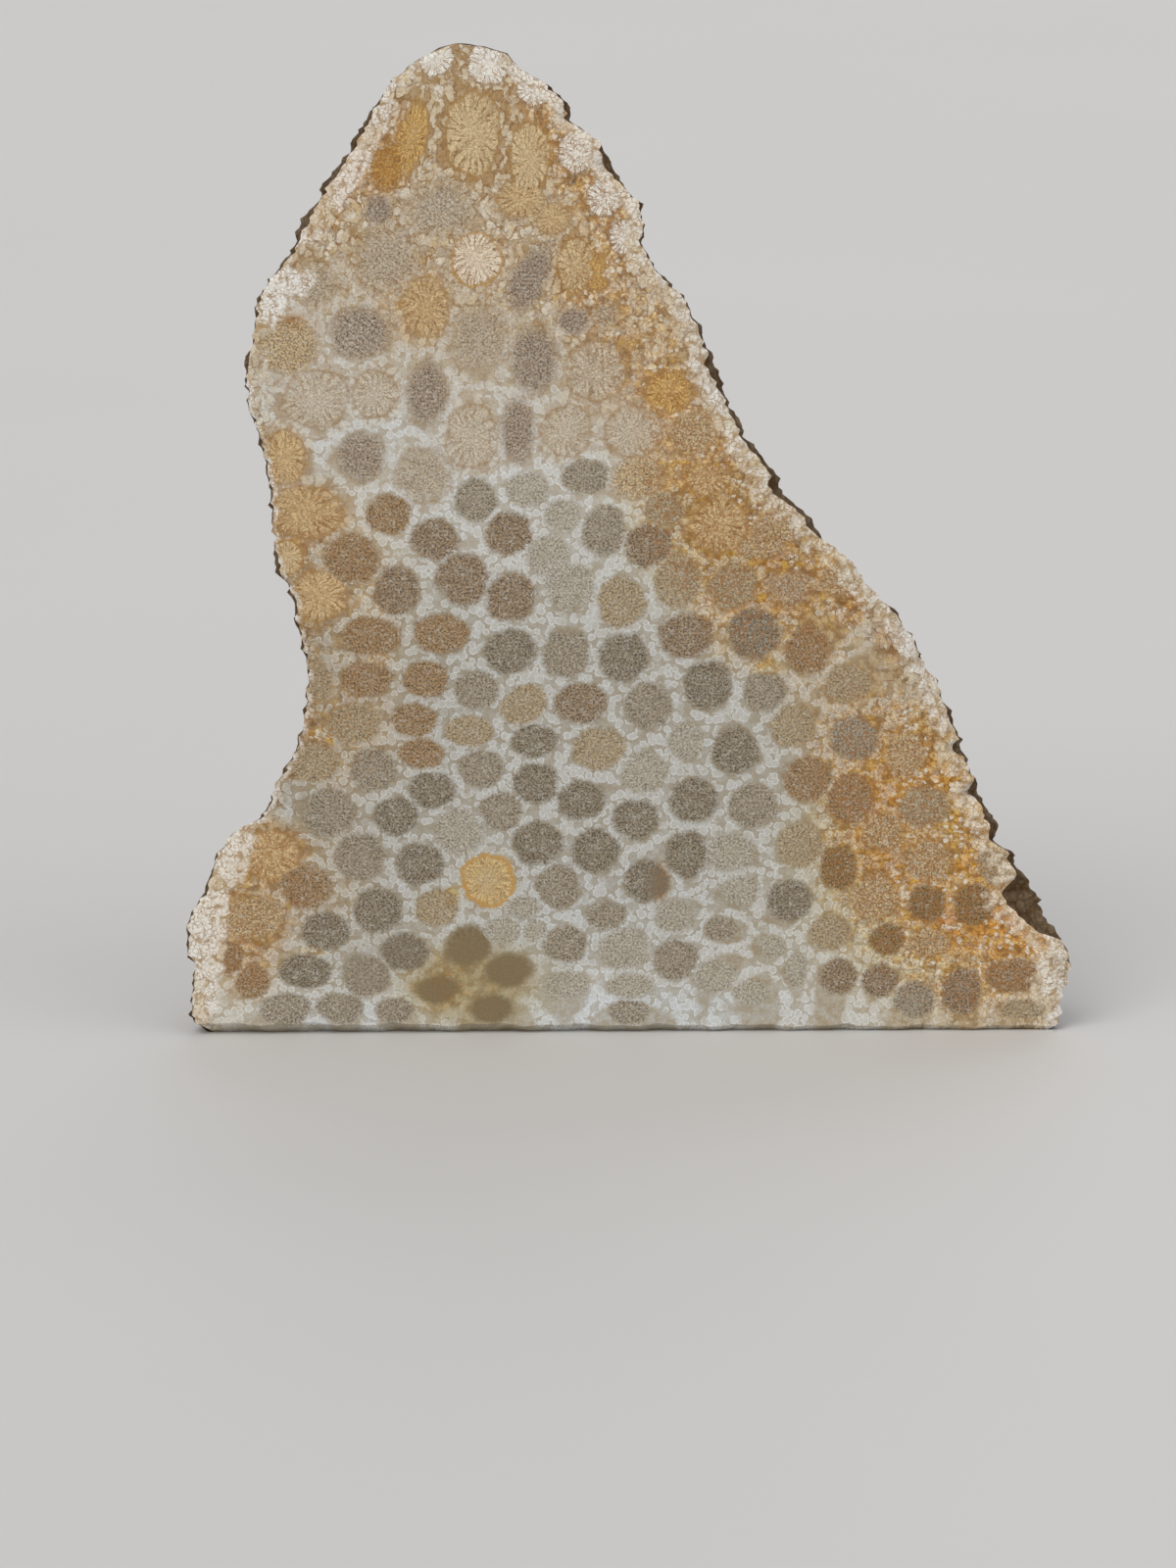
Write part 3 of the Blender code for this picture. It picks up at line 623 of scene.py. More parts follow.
RIND, FACE, BASE = 0, 1, 2  # order of the finishes on the mesh


def grid_quads(at, flip):
    """Four-cornered polygons of a grid of points, turned over when flip is set."""
    corners = [at[:-1, :-1], at[1:, :-1], at[1:, 1:], at[:-1, 1:]]
    return np.stack(corners[:1] + corners[:0:-1] if flip else corners, axis=-1).reshape(-1, 4)


def head_piece():
    """One closed mesh: rind, face, foot edge, tip and base, with what the materials read."""
    turn = np.linspace(0.0, 1.0, RIND_COLUMNS)
    share = np.linspace(0.0, 1.0, FACE_COLUMNS)
    levels = ROWS + 1
    rind_z = row_heights(turn)
    face_points, rim = sawn_face(row_heights(share), share)
    face_points = behind_foot(face_points, share)
    rind_points = behind_foot(rind(rind_z, np.broadcast_to(turn, rind_z.shape)), turn)
    rind_points[:, 0] = face_points[:, 0]
    rind_points[:, -1] = face_points[:, -1]

    rind_at = np.arange(levels * RIND_COLUMNS).reshape(levels, RIND_COLUMNS)
    inner = np.arange(levels * (FACE_COLUMNS - 2)).reshape(levels, FACE_COLUMNS - 2) + rind_at.size
    face_at = np.concatenate([rind_at[:, :1], inner, rind_at[:, -1:]], axis=1)
    tip_at = rind_at.size + inner.size
    tip = np.array([[TIP_X, face_y(HEIGHT), HEIGHT]])
    points = np.concatenate([rind_points.reshape(-1, 3), face_points[:, 1:-1].reshape(-1, 3), tip])

    def per_point(on_rind, on_front, at_tip):
        """Values for every vertex in order: the rind's grid, the face's inside, the tip."""
        return np.concatenate([on_rind.reshape(rind_at.size, -1),
                               on_front[:, 1:-1].reshape(inner.size, -1), np.atleast_2d(at_tip)])

    def from_face(*channels):
        """Values of the face grid, which its seam with the rind keeps; ones on the rind."""
        on_front = np.stack(channels, axis=-1)
        on_rind = np.ones(rind_at.shape + on_front.shape[-1:])
        on_rind[:, 0], on_rind[:, -1] = on_front[:, 0], on_front[:, -1]
        return per_point(on_rind, on_front, on_front[-1].mean(0))

    rind_quads, face_quads = grid_quads(rind_at, False), grid_quads(face_at, True)
    rind_fan = [(a, tip_at, b) for a, b in zip(rind_at[-1, :-1], rind_at[-1, 1:])]
    face_fan = [(a, b, tip_at) for a, b in zip(face_at[-1, :-1], face_at[-1, 1:])]
    base = tuple(rind_at[0].tolist() + face_at[0, -2:0:-1].tolist())
    polygons = rind_quads.tolist() + rind_fan + face_quads.tolist() + face_fan + [base]

    mesh = bpy.data.meshes.new("coral_head_stone")
    mesh.from_pydata((points * MM).tolist(), [], polygons)
    counts = np.array([len(p) for p in polygons])
    corner_of = np.repeat(np.arange(len(polygons)), counts)
    corners = np.zeros(len(mesh.loops), np.int32)
    mesh.loops.foreach_get("vertex_index", corners)
    kind = np.repeat([RIND, FACE, BASE], [len(rind_quads) + len(rind_fan),
                                          len(face_quads) + len(face_fan), 1]).astype(np.int32)
    mesh.polygons.foreach_set("material_index", kind)

    # middle of each polygon, for choosing the cup that it belongs to
    middle = np.stack([np.bincount(corner_of, points[corners, axis]) for axis in range(3)], axis=-1)
    middle /= counts[:, None]
    place, look, edge = (np.zeros((len(corners), 3)) for _ in range(3))
    colour = np.zeros((len(corners), 4))
    seeds = np.random.RandomState(CUP_LOOK_SEED).uniform(0.0, 1.0, CUP_LOOKS)
    cup = np.zeros(len(polygons), int)

    ovals = plan_ovals([row[:4] + (row[5:] or (0,)) for row in FACE_CUPS])
    front, at = kind == FACE, kind[corner_of] == FACE
    cup[front] = np.hypot(*in_oval(middle[front, :1], middle[front, 2:], ovals)).argmin(1)
    mine = cup[corner_of[at]]
    u, v = in_oval(points[corners[at], 0], points[corners[at], 2], ovals[mine])
    place[at] = np.stack([u, v, seeds[mine]], axis=-1)
    tones = [TONES[row[4]] for row in FACE_CUPS]
    colour[at] = np.array([tone[0] + tone[3:] for tone in tones])[mine]
    look[at] = np.array([tone[1] for tone in tones])[mine]
    edge[at] = np.array([tone[2] for tone in tones])[mine]

    centres = cup_centres()
    back, at = kind == RIND, kind[corner_of] == RIND
    cup[back] = nearest(middle[back], centres)[1]
    mine = cup[corner_of[at]]
    away = points[corners[at]] - centres[mine]
    out = outward(centres, centres[:, 2])
    out = (out / np.linalg.norm(out, axis=-1)[:, None])[mine]
    sideways = away[:, 0] * -out[:, 1] + away[:, 1] * out[:, 0]
    place[at] = np.stack([sideways / CUP_RIM_RADIUS, away[:, 2] / CUP_RIM_RADIUS, seeds[mine]],
                         axis=-1)
    for name, values in (("cup_place", place), ("cup_colour", colour), ("cup_look", look),
                         ("cup_edge", edge)):
        store(mesh, name, "CORNER", values)

    x, z = face_points[..., 0], face_points[..., 2]
    radii = np.sort(np.hypot(*in_oval(x[..., None], z[..., None], ovals)), axis=-1)
    # mask of the painted shade on the rind just behind the face
    near_face = ease(1.0 - (rind_points[..., 1] - face_y(rind_z)) / NEAR_FACE)
    grain, crust = grain_and_crust(x, z, rim)
    clear, stripe = (soft_spots(x, z, rows).max(-1) for rows in (CLEAR, STRIPED))
    # the stains, with painted shade in pits and a painted sky reflection among them
    tint = [*np.moveaxis(stain_colour(x, z), -1, 0), np.ones(x.shape)]
    for name, values in (("near_face", per_point(near_face, np.zeros(x.shape), 0.0)),
                         ("field", from_face(grain, crust, clear)),
                         ("web", from_face(radii[..., 1] - radii[..., 0])),
                         ("stripe", from_face(stripe)), ("tint", from_face(*tint))):
        store(mesh, name, "POINT", values)

    mesh.polygons.foreach_set("use_smooth", kind != BASE)
    mesh.set_sharp_from_angle(angle=math.radians(SHARP_DEG))
    mesh.update()
    return mesh


def store(mesh, name, domain, values):
    """Writes one attribute for every corner or point: a number, a vector or a colour."""
    kind, channel = {1: ("FLOAT", "value"), 3: ("FLOAT_VECTOR", "vector"),
                     4: ("FLOAT_COLOR", "color")}[values.shape[-1]]
    layer = mesh.attributes.new(name, kind, domain)
    layer.data.foreach_set(channel, np.ascontiguousarray(values, np.float32).ravel())


# ---------------------------------------------------------------- shader building

class Nodes:
    """Builds one node tree, and is called t below. Its methods add nodes and give outputs."""

    def __init__(self, tree):
        self.tree = tree

    def feed(self, socket, value):
        """Joins a node's output to a socket, or sets the socket to a plain value."""
        if isinstance(value, bpy.types.NodeSocket):
            self.tree.links.new(value, socket)
        elif isinstance(value, tuple) and len(value) == 3 and socket.type == "RGBA":
            socket.default_value = value + (1.0,)
        else:
            socket.default_value = value

    def add(self, kind, values=(), **settings):
        """A new node of a kind with its settings, its first sockets fed with the values."""
        made = self.tree.nodes.new("ShaderNode" + kind)
        for name, value in settings.items():
            setattr(made, name, value)
        for socket, value in zip(made.inputs, values):
            self.feed(socket, value)
        return made

    def maths(self, operation, *values):
        """One sum on numbers."""
        return self.add("Math", values, operation=operation).outputs[0]

    def times(self, first, *others):
        """Product of numbers."""
        for other in others:
            first = self.maths("MULTIPLY", first, other)
        return first

    def times_add(self, first, second, third):
        """First times second, plus third."""
        return self.maths("MULTIPLY_ADD", first, second, third)

    def less(self, first, second):
        """First less second."""
        return self.maths("SUBTRACT", first, second)

    def gap(self, first, second):
        """How far two numbers are apart."""
        return self.maths("ABSOLUTE", self.less(first, second))

    def vectors(self, operation, first, *others):
        """One sum on vectors."""
        made = self.add("VectorMath", (first, *others), operation=operation)
        return made.outputs["Value" if operation in ("LENGTH", "DOT_PRODUCT") else "Vector"]

    def plus(self, first, second):
        """Sum of two vectors."""
        return self.vectors("ADD", first, second)

    def scaled(self, vector, scale):
        """Vector or colour times a number."""
        made = self.add("VectorMath", (vector,), operation="SCALE")
        self.feed(made.inputs["Scale"], scale)
        return made.outputs["Vector"]

    def mix(self, share, first, second, way="MIX"):
        """First colour at share 0, second at share 1."""
        made = self.add("Mix", data_type="RGBA", blend_type=way)
        for place, value in ((0, share), (6, first), (7, second)):
            self.feed(made.inputs[place], value)
        return made.outputs[2]

    def paint(self, under, colour, *shares):
        """A colour laid over another, as strongly as the product of the shares."""
        return self.mix(self.times(*shares), under, colour)

    def ramp(self, value, low, high, start=0.0, end=1.0):
        """Smooth step from start to end as the value goes from low to high."""
        return self.add("MapRange", (value, low, high, start, end),
                        interpolation_type="SMOOTHSTEP").outputs[0]

    def noise(self, place, scale, detail=2.0, rough=0.5, output="Fac"):
        """Cloudy noise of a place."""
        made = self.add("TexNoise")
        for name, value in (("Vector", place), ("Scale", scale), ("Detail", detail),
                            ("Roughness", rough)):
            self.feed(made.inputs[name], value)
        return made.outputs[output]

    def sway(self, place, scale, detail, rough):
        """Noise in three directions, evenly to both sides of nothing."""
        return self.vectors("SUBTRACT", self.noise(place, scale, detail, rough, "Color"),
                            (0.5, 0.5, 0.5))

    def cells(self, place, scale, feature="F1", loose=1.0, span="3D"):
        """Cell pattern of a place: its outputs, for the distance and the colour."""
        made = self.add("TexVoronoi", feature=feature, voronoi_dimensions=span)
        for name, value in (("Vector", place), ("Scale", scale), ("Randomness", loose)):
            self.feed(made.inputs[name], value)
        return made.outputs

    def split(self, vector):
        """The three numbers of a vector."""
        return self.add("SeparateXYZ", (vector,)).outputs

    def join(self, *numbers):
        """A vector of three numbers."""
        return self.add("CombineXYZ", numbers).outputs[0]

    def read(self, name):
        """The outputs of one attribute of the mesh."""
        return self.add("Attribute", attribute_name=name, attribute_type="GEOMETRY").outputs

    def use(self, made, **values):
        """Places a node group and feeds its inputs; gives its outputs."""
        placed = self.add("Group", node_tree=made)
        for name, value in values.items():
            self.feed(placed.inputs[name], value)
        return placed.outputs

    def millimetres(self):
        """Place on the piece in millimetres."""
        return self.scaled(self.add("TexCoord").outputs["Object"], 1.0 / MM)


def group(name, inputs, outputs):
    """An empty node group with named sockets, and its two end nodes' sockets."""
    tree = bpy.data.node_groups.new(name, "ShaderNodeTree")
    for label, kind in inputs.items():
        tree.interface.new_socket(name=label, in_out="INPUT", socket_type="NodeSocket" + kind)
    for label in outputs:
        tree.interface.new_socket(name=label, in_out="OUTPUT", socket_type="NodeSocketFloat")
    nodes = Nodes(tree)
    start, end = tree.nodes.new("NodeGroupInput"), tree.nodes.new("NodeGroupOutput")
    return nodes, start.outputs, end.inputs


def cup_group():
    """A coral cup from its own place: distance from the middle with a fuzzy, scalloped edge;
    fine threads running outwards; the septa, which are thin lines at even angles; and the
    petals round it, which are long grains lying outwards: the line round each and its body."""
    t, given, wanted = group("coral cup", {"Place": "Vector", "Septa": "Float"},
                             ("Radius", "Threads", "Lines", "Petal", "Petal Line"))
    x, y, seed = t.split(given["Place"])
    flat = t.join(x, y, 0.0)
    length = t.vectors("LENGTH", flat)
    way = t.scaled(flat, t.maths("DIVIDE", 1.0, t.maths("MAXIMUM", length, 0.12)))
    far = t.times_add(length, 1.7, t.times(seed, 90.0))
    upward = t.join(0.0, 0.0, far)
    lobes = t.noise(t.plus(t.scaled(way, 4.2), upward), 1.0, 1.5)
    off = t.less(lobes, 0.5)
    threads = t.noise(t.plus(t.scaled(way, 16.0), upward), 1.0, 2.0, 0.6)
    angle = t.maths("ARCTAN2", y, x)
    start = t.times_add(off, 2.6, t.times(seed, 30.0))
    wave = t.maths("ABSOLUTE", t.maths("SINE", t.times_add(angle, given["Septa"], start)))
    petals = t.cells(t.plus(t.scaled(way, 3.6), upward), 1.0)
    inward = t.less(0.50, petals["Distance"])
    t.feed(wanted["Radius"], t.times_add(off, 0.22, length))
    t.feed(wanted["Threads"], threads)
    t.feed(wanted["Lines"], t.times(t.ramp(wave, 0.42, 0.10), t.ramp(length, 0.15, 0.75)))
    t.feed(wanted["Petal"], t.ramp(inward, 0.0, 0.10))
    t.feed(wanted["Petal Line"], t.ramp(t.maths("ABSOLUTE", inward), 0.10, 0.02))
    return t.tree


def ovals(t, place, scale, size, loose=1.0):
    """Rounded grains scattered over a plane: a random number for each, the body of the grain
    and the thin line round it. A grain is a disc about the middle of a cell, larger or
    smaller by a random number of the cell."""
    made = t.cells(place, scale, loose=loose, span="2D")
    tone, other, _ = t.split(made["Color"])
    reach = t.times_add(other, 0.20, size - 0.10)
    inward = t.less(reach, made["Distance"])
    return tone, t.ramp(inward, -0.02, 0.05), t.ramp(t.maths("ABSOLUTE", inward), 0.11, 0.02)


def plain_material(name, rough, shine=0.4):
    """A material with its shader set to plain stone: the material, its nodes, the shader."""
    made = bpy.data.materials.new(name)
    made.use_nodes = True
    shader = made.node_tree.nodes["Principled BSDF"]
    shader.inputs["Roughness"].default_value = rough
    shader.inputs["Specular IOR Level"].default_value = shine
    return made, Nodes(made.node_tree), shader


def raise_surface(t, shader, height, reach, strength=1.0):
    """Bump from a height of 0 to 1, which stands for `reach` metres."""
    bump = t.add("Bump")
    bump.inputs["Strength"].default_value = strength
    bump.inputs["Distance"].default_value = reach
    t.feed(bump.inputs["Height"], height)
    t.feed(shader.inputs["Normal"], bump.outputs[0])


# ---------------------------------------------------------------- stone finishes

CREAM = (0.445, 0.360, 0.242)  # the network, dark
SAND = (0.510, 0.454, 0.356)  # and light
MILK = (0.830, 0.850, 0.835)  # its beads
VEIN = (0.285, 0.145, 0.050)  # thin lines round grains, cups and petals
HONEY = (0.580, 0.320, 0.075)  # the ring of a ringed cup
CHALK = (0.930, 0.910, 0.860)  # the crust, and below it worn, lined, rusted, dirty
RUST_WASH = (0.80, 0.52, 0.28)  # darkens the threads of a lined cup
HAIR = (0.680, 0.655, 0.590)  # pale hairs in a speckled cup
SOIL = (0.400, 0.265, 0.125)  # between the oval grains, dark
CLAY = (0.520, 0.395, 0.235)  # and light
EGG = (0.860, 0.800, 0.670)  # the small oval grains
GRAIN = (0.740, 0.600, 0.375)  # the larger ones, dark
PALE_GRAIN = (0.900, 0.865, 0.770)  # and light
PETAL_GAP = (0.460, 0.310, 0.155)  # between the petals of a cup
PETAL = (0.740, 0.660, 0.510)
GOLD = (0.760, 0.460, 0.090)  # glowing patches of stain
FLECK = (0.860, 0.820, 0.700)
IRON = (0.350, 0.150, 0.035)  # rusty veins
WORN_CHALK = (0.780, 0.690, 0.530)
CHALK_LINE = (0.600, 0.480, 0.350)
CHALK_RUST = (0.380, 0.215, 0.075)
CHALK_DIRT = (0.470, 0.300, 0.130)
SCRATCH = (0.720, 0.680, 0.620)  # saw stripes
RIND_DARK = (0.165, 0.092, 0.037)  # the rind at its broadest scale
RIND_BROWN = (0.270, 0.172, 0.084)
RIND_PALE = (0.400, 0.310, 0.195)  # areas of it
RIND_RUST = (0.290, 0.135, 0.040)
RIND_WORN = (0.420, 0.310, 0.180)  # worn knobs, and the painted shade of hollows
RIND_HOLLOW_SHADE = (0.060, 0.031, 0.012)
RIND_WALL = (0.500, 0.395, 0.255)  # wall, inside (painted shade), filling and septa of its cups
RIND_CUP_SHADE = (0.075, 0.040, 0.015)
RIND_FILL = (0.270, 0.185, 0.105)
RIND_SEPTA = (0.480, 0.380, 0.245)
RIND_CRACK = (0.075, 0.040, 0.017)
RIND_NEAR_FACE_SHADE = (0.085, 0.038, 0.013)  # painted shade on the broken stone just behind the face
BASE_DARK = (0.400, 0.320, 0.215)
BASE_PALE = (0.540, 0.480, 0.385)


def polished_coral(cup):
    """The sawn face: speckled cups in a milky beaded network, oval grains with brown veins
    towards the rim and the top, white crust at the rim, all under the iron stains, with
    painted shade in pits and a painted bluish sky reflection."""
    made, t, shader = plain_material("polished fossil coral", 0.42, 0.30)
    x, _, z = t.split(t.millimetres())
    position = t.join(x, z, 0.0)
    grain, crust, clear = t.split(t.read("field")["Vector"])
    web, stripe = t.read("web")["Fac"], t.read("stripe")["Fac"]
    speckled, lined, ringed = t.split(t.read("cup_look")["Vector"])
    soft, petalled, heart = t.split(t.read("cup_edge")["Vector"])
    tone = t.read("cup_colour")
    crisp = t.less(1.0, clear)

    # place within the cup, pulled about so that no outline is a clean oval
    wide = t.sway(position, 0.20, 1.0, 0.5)
    near = t.sway(position, 1.30, 2.0, 0.5)
    pull = t.plus(t.vectors("MULTIPLY", wide, (0.42, 0.42, 0.0)),
                  t.vectors("MULTIPLY", near, (0.26, 0.26, 0.0)))
    bent = t.plus(t.read("cup_place")["Vector"], pull)
    radius, threads, lines, petal, petal_line = t.use(cup, Place=bent, Septa=9.0)
    inner_edge = t.times_add(soft, -0.45, 0.86)
    outer_edge = t.times_add(soft, 0.20, 1.15)
    inside = t.times(t.ramp(radius, outer_edge, inner_edge), tone["Alpha"])

    # speckle: fine grit and thin pale hairs, which are the zero lines of a second noise
    grit = t.noise(position, 2.3, 2.0, 0.6)
    coarse = t.noise(position, 0.50, 2.0)
    patchy = t.noise(position, 0.45, 3.0)
    hair = t.gap(t.noise(position, 1.25, 1.0, 0.5), 0.5)
    hairs = t.times(t.ramp(hair, 0.050, 0.0), t.ramp(coarse, 0.32, 0.60, 0.25, 1.0))
    share = t.times(speckled, crisp)
    contrast = t.less(t.ramp(grit, 0.38, 0.62), 0.5)
    strands = t.less(t.ramp(threads, 0.34, 0.66), 0.5)
    light = t.times_add(t.times(contrast, share), 0.90, 1.0)
    light = t.times_add(t.times(strands, crisp), 0.42, light)
    inner = t.scaled(tone["Color"], light)
    rust = t.times(lined, t.ramp(threads, 0.50, 0.34))
    rusty = t.mix(1.0, inner, RUST_WASH, "MULTIPLY")
    inner = t.paint(inner, rusty, rust, 0.75)
    inner = t.paint(inner, HAIR, hairs, share, 0.58)
    inner = t.paint(inner, SAND, heart, t.ramp(radius, 0.75, 0.10))
    drawn = t.times(lines, t.ramp(lined, 0.3, 0.9))
    inner = t.paint(inner, VEIN, drawn, 0.85)

    # network: cream round the cups, milkier along its middle
    strewn = t.plus(position, t.scaled(near, 0.8))
    middle = t.times(t.ramp(web, 0.85, 0.40), crisp)
    network = t.mix(t.ramp(coarse, 0.35, 0.65), CREAM, SAND)
    network = t.paint(network, MILK, hairs, 0.25)
    network = t.paint(network, MILK, middle, 0.16)

    # oval grains of the rim and the top, in two sizes, with petals round the larger cups
    drawn_out = t.plus(position, t.scaled(wide, 5.0))
    drawn_out = t.vectors("MULTIPLY", drawn_out, (1.0, 0.72, 0.0))
    drawn_out = t.plus(drawn_out, t.scaled(near, 0.6))
    grain_number, oval, oval_line = ovals(t, drawn_out, 0.56, 0.44, 0.80)
    egg_number, egg, egg_line = ovals(t, strewn, 0.95, 0.46, 0.85)
    body = t.mix(t.ramp(coarse, 0.35, 0.65), SOIL, CLAY)
    body = t.scaled(body, t.times_add(contrast, 0.40, 1.0))
    few = t.times(t.ramp(egg_number, 0.45, 0.60), t.ramp(patchy, 0.40, 0.60))
    body = t.paint(body, EGG, egg, few)
    body = t.paint(body, VEIN, egg_line, few, 0.8)
    fill = t.mix(t.ramp(grain_number, 0.10, 0.75), GRAIN, PALE_GRAIN)
    strewn_here = t.ramp(coarse, 0.64, 0.42, 0.40, 1.0)
    body = t.paint(body, fill, oval, strewn_here, 0.85)
    body = t.paint(body, VEIN, oval_line, strewn_here, 0.95)
    grainy = t.times(grain, t.ramp(patchy, 0.30, 0.50, 0.55, 1.0))
    outside = t.mix(grainy, network, body)
    round_cup = t.times(t.ramp(radius, 1.60, 1.45), petalled)
    leaf = t.mix(petal, PETAL_GAP, PETAL)
    leaf = t.paint(leaf, VEIN, petal_line, 0.75)
    outside = t.paint(outside, leaf, round_cup, 0.80)

    # iron stains: they run through the network more than through the cups, and gather in
    # rusty threads and yellow patches. The same tint carries painted shade in pits and a
    # painted bluish sky reflection.
    stained = t.read("tint")
    tint = stained["Color"]
    red, _, blue = t.split(stained["Vector"])
    iron = t.ramp(t.less(red, blue), 0.10, 0.50)
    blotch = t.times(t.less(t.ramp(coarse, 0.36, 0.64), 0.45), iron)
    outside = t.scaled(outside, t.times_add(blotch, 0.55, 1.0))
    outside = t.mix(1.0, outside, tint, "MULTIPLY")
    glow = t.times(iron, t.ramp(patchy, 0.50, 0.66))
    outside = t.paint(outside, GOLD, glow, 0.55)

    # pale flecks where the rim is stained
    fleck = t.times(egg, t.ramp(egg_number, 0.70, 0.78))
    fleck = t.times(fleck, iron, t.ramp(grain, 0.02, 0.30))
    outside = t.paint(outside, FLECK, fleck, 0.75)

    # milky beads in rows along the network, each with a paler ring, half kept from the stain
    bead_number, bead, bead_ring = ovals(t, strewn, 0.64, 0.45, 0.90)
    bare = t.less(1.0, t.maths("MAXIMUM", t.times(grainy, 0.75), round_cup))
    beaded = t.times(t.ramp(bead_number, 0.05, 0.30), middle, bare)
    white = t.mix(0.50, MILK, tint, "MULTIPLY")
    outside = t.paint(outside, white, bead, beaded, 0.42)
    outside = t.paint(outside, white, bead_ring, beaded, 0.80)
    stone = t.mix(inside, outside, t.mix(0.08, inner, tint, "MULTIPLY"))

    # rusty veins through the stained stone, and the outlines of cups with petals or a ring
    vein = t.gap(t.noise(position, 0.62, 3.0, 0.6), 0.5)
    seam = t.times(iron, t.ramp(vein, 0.050, 0.005))
    stone = t.paint(stone, IRON, seam, 0.80)
    from_wall = t.gap(radius, 1.04)
    outline = t.times(t.ramp(from_wall, 0.09, 0.02), petalled)
    stone = t.paint(stone, VEIN, outline, 0.60)
    reach = t.times_add(ringed, 0.16, 0.05)
    stone = t.paint(stone, HONEY, t.ramp(from_wall, reach, 0.02),
                    t.ramp(ringed, 0.0, 0.6, 0.0, 0.85))

    # crust: white blocks of small wrinkled grains, with rust and dirt in patches between them
    block, _, _ = t.split(t.cells(drawn_out, 0.34, span="2D")["Color"])
    to_edge = t.cells(drawn_out, 0.34, "DISTANCE_TO_EDGE", span="2D")["Distance"]
    joint = t.ramp(to_edge, 0.14, 0.01)
    dirt = t.noise(position, 0.55, 3.0, 0.6)
    chalk = t.mix(t.ramp(block, 0.60, 1.0), CHALK, WORN_CHALK)
    chalk = t.mix(0.35, chalk, tint, "MULTIPLY")
    chalk = t.paint(chalk, CHALK_LINE, egg_line, 0.55)
    rusted = t.times(egg_line, t.ramp(coarse, 0.46, 0.60, 0.0, 0.80))
    rusted = t.maths("MAXIMUM", rusted, t.times(joint, t.ramp(dirt, 0.44, 0.56, 0.10, 0.70)))
    chalk = t.paint(chalk, CHALK_RUST, rusted)
    chalk = t.paint(chalk, CHALK_DIRT, t.ramp(dirt, 0.54, 0.64), 0.70)
    crusted = t.ramp(t.times_add(patchy, 1.2, crust), 0.85, 1.25)
    stone = t.paint(stone, chalk, crusted, t.ramp(crust, 0.05, 0.30), 0.95)

    # saw stripes and a general fine mottling
    across = t.vectors("DOT_PRODUCT", position, (0.62, 0.78, 0.0))
    saw = t.maths("SINE", t.times_add(patchy, 2.5, t.times(across, 5.4)))
    scratch = t.times(t.ramp(saw, 0.55, 0.95), stripe, t.ramp(grit, 0.35, 0.60))
    stone = t.paint(stone, SCRATCH, scratch, 0.45)
    mottle = t.times_add(t.less(grit, 0.5), 0.50, 1.0)
    stone = t.scaled(stone, mottle)
    t.feed(shader.inputs["Base Color"], stone)

    rough = t.times_add(grit, 0.4, crust)
    t.feed(shader.inputs["Roughness"], t.ramp(rough, 0.2, 1.2, 0.36, 0.72))
    bumpy = t.times(t.maths("MAXIMUM", grain, crust), egg, 0.6)
    raise_surface(t, shader, t.times_add(grit, 0.25, bumpy), 0.00025, 0.8)
    return made


def weathered_rind(cup):
    """The rough outside: dark brown ochre stone, with painted shade in its cups, its hollows and
    just behind the face, paler on worn knobs.
    """
    made, t, shader = plain_material("weathered coral rind", 0.85, 0.15)
    position = t.millimetres()
    near_face = t.read("near_face")["Fac"]
    pull = t.sway(position, 0.4, 3.0, 0.6)
    bent = t.plus(t.read("cup_place")["Vector"], t.vectors("MULTIPLY", pull, (0.5, 0.5, 0.0)))
    radius, _, lines, _, _ = t.use(cup, Place=bent, Septa=12.0)
    loose = t.plus(position, t.scaled(pull, 1.6))
    dome = t.ramp(t.cells(loose, 0.45)["Distance"], 0.75, 0.0)
    vein = t.ramp(t.cells(loose, 0.45, "DISTANCE_TO_EDGE")["Distance"], 0.16, 0.03)
    broad = t.noise(position, 0.045, 3.0, 0.6)
    middle = t.noise(position, 0.35, 4.0, 0.65)
    fine = t.noise(position, 2.2, 3.0, 0.7)
    area = t.noise(position, 0.022, 3.0, 0.55)
    stone = t.mix(t.ramp(broad, 0.38, 0.62), RIND_DARK, RIND_BROWN)
    stone = t.paint(stone, RIND_PALE, t.ramp(area, 0.52, 0.64), 0.65)
    stone = t.paint(stone, RIND_RUST, t.ramp(area, 0.48, 0.38), 0.60)
    stone = t.paint(stone, RIND_WORN, t.ramp(middle, 0.50, 0.72), 0.8)
    # painted shade in the low hollows of the bump
    stone = t.paint(stone, RIND_HOLLOW_SHADE, t.ramp(middle, 0.46, 0.30), 0.8)
    wall = t.times(t.ramp(radius, 0.70, 0.92), t.ramp(middle, 0.42, 0.58))
    stone = t.paint(stone, RIND_WALL, wall, 0.60)
    in_cup = t.ramp(radius, 0.72, 0.40)
    filled = t.ramp(t.split(bent)[2], 0.40, 0.70)
    # painted shade inside the cups; a filled cup takes the fill colour instead
    stone = t.paint(stone, t.mix(filled, RIND_CUP_SHADE, RIND_FILL), in_cup, 0.62)
    septa = t.times(lines, t.ramp(radius, 1.0, 0.7))
    stone = t.paint(stone, RIND_SEPTA, septa, 0.55)
    stone = t.paint(stone, RIND_CRACK, vein, 0.5)
    # painted shade on the rind just behind the face
    stone = t.paint(stone, RIND_NEAR_FACE_SHADE, near_face, 0.75)
    stone = t.scaled(stone, t.times_add(t.less(fine, 0.5), 0.9, 1.0))
    t.feed(shader.inputs["Base Color"], stone)
    t.feed(shader.inputs["Roughness"], t.ramp(fine, 0.3, 0.7, 0.72, 0.95))
    height = t.times_add(dome, 0.35, t.times(middle, 1.2))
    height = t.times_add(septa, 0.35, height)
    height = t.times_add(fine, 0.35, height)
    raise_surface(t, shader, height, 0.0018, 1.0)
    return made


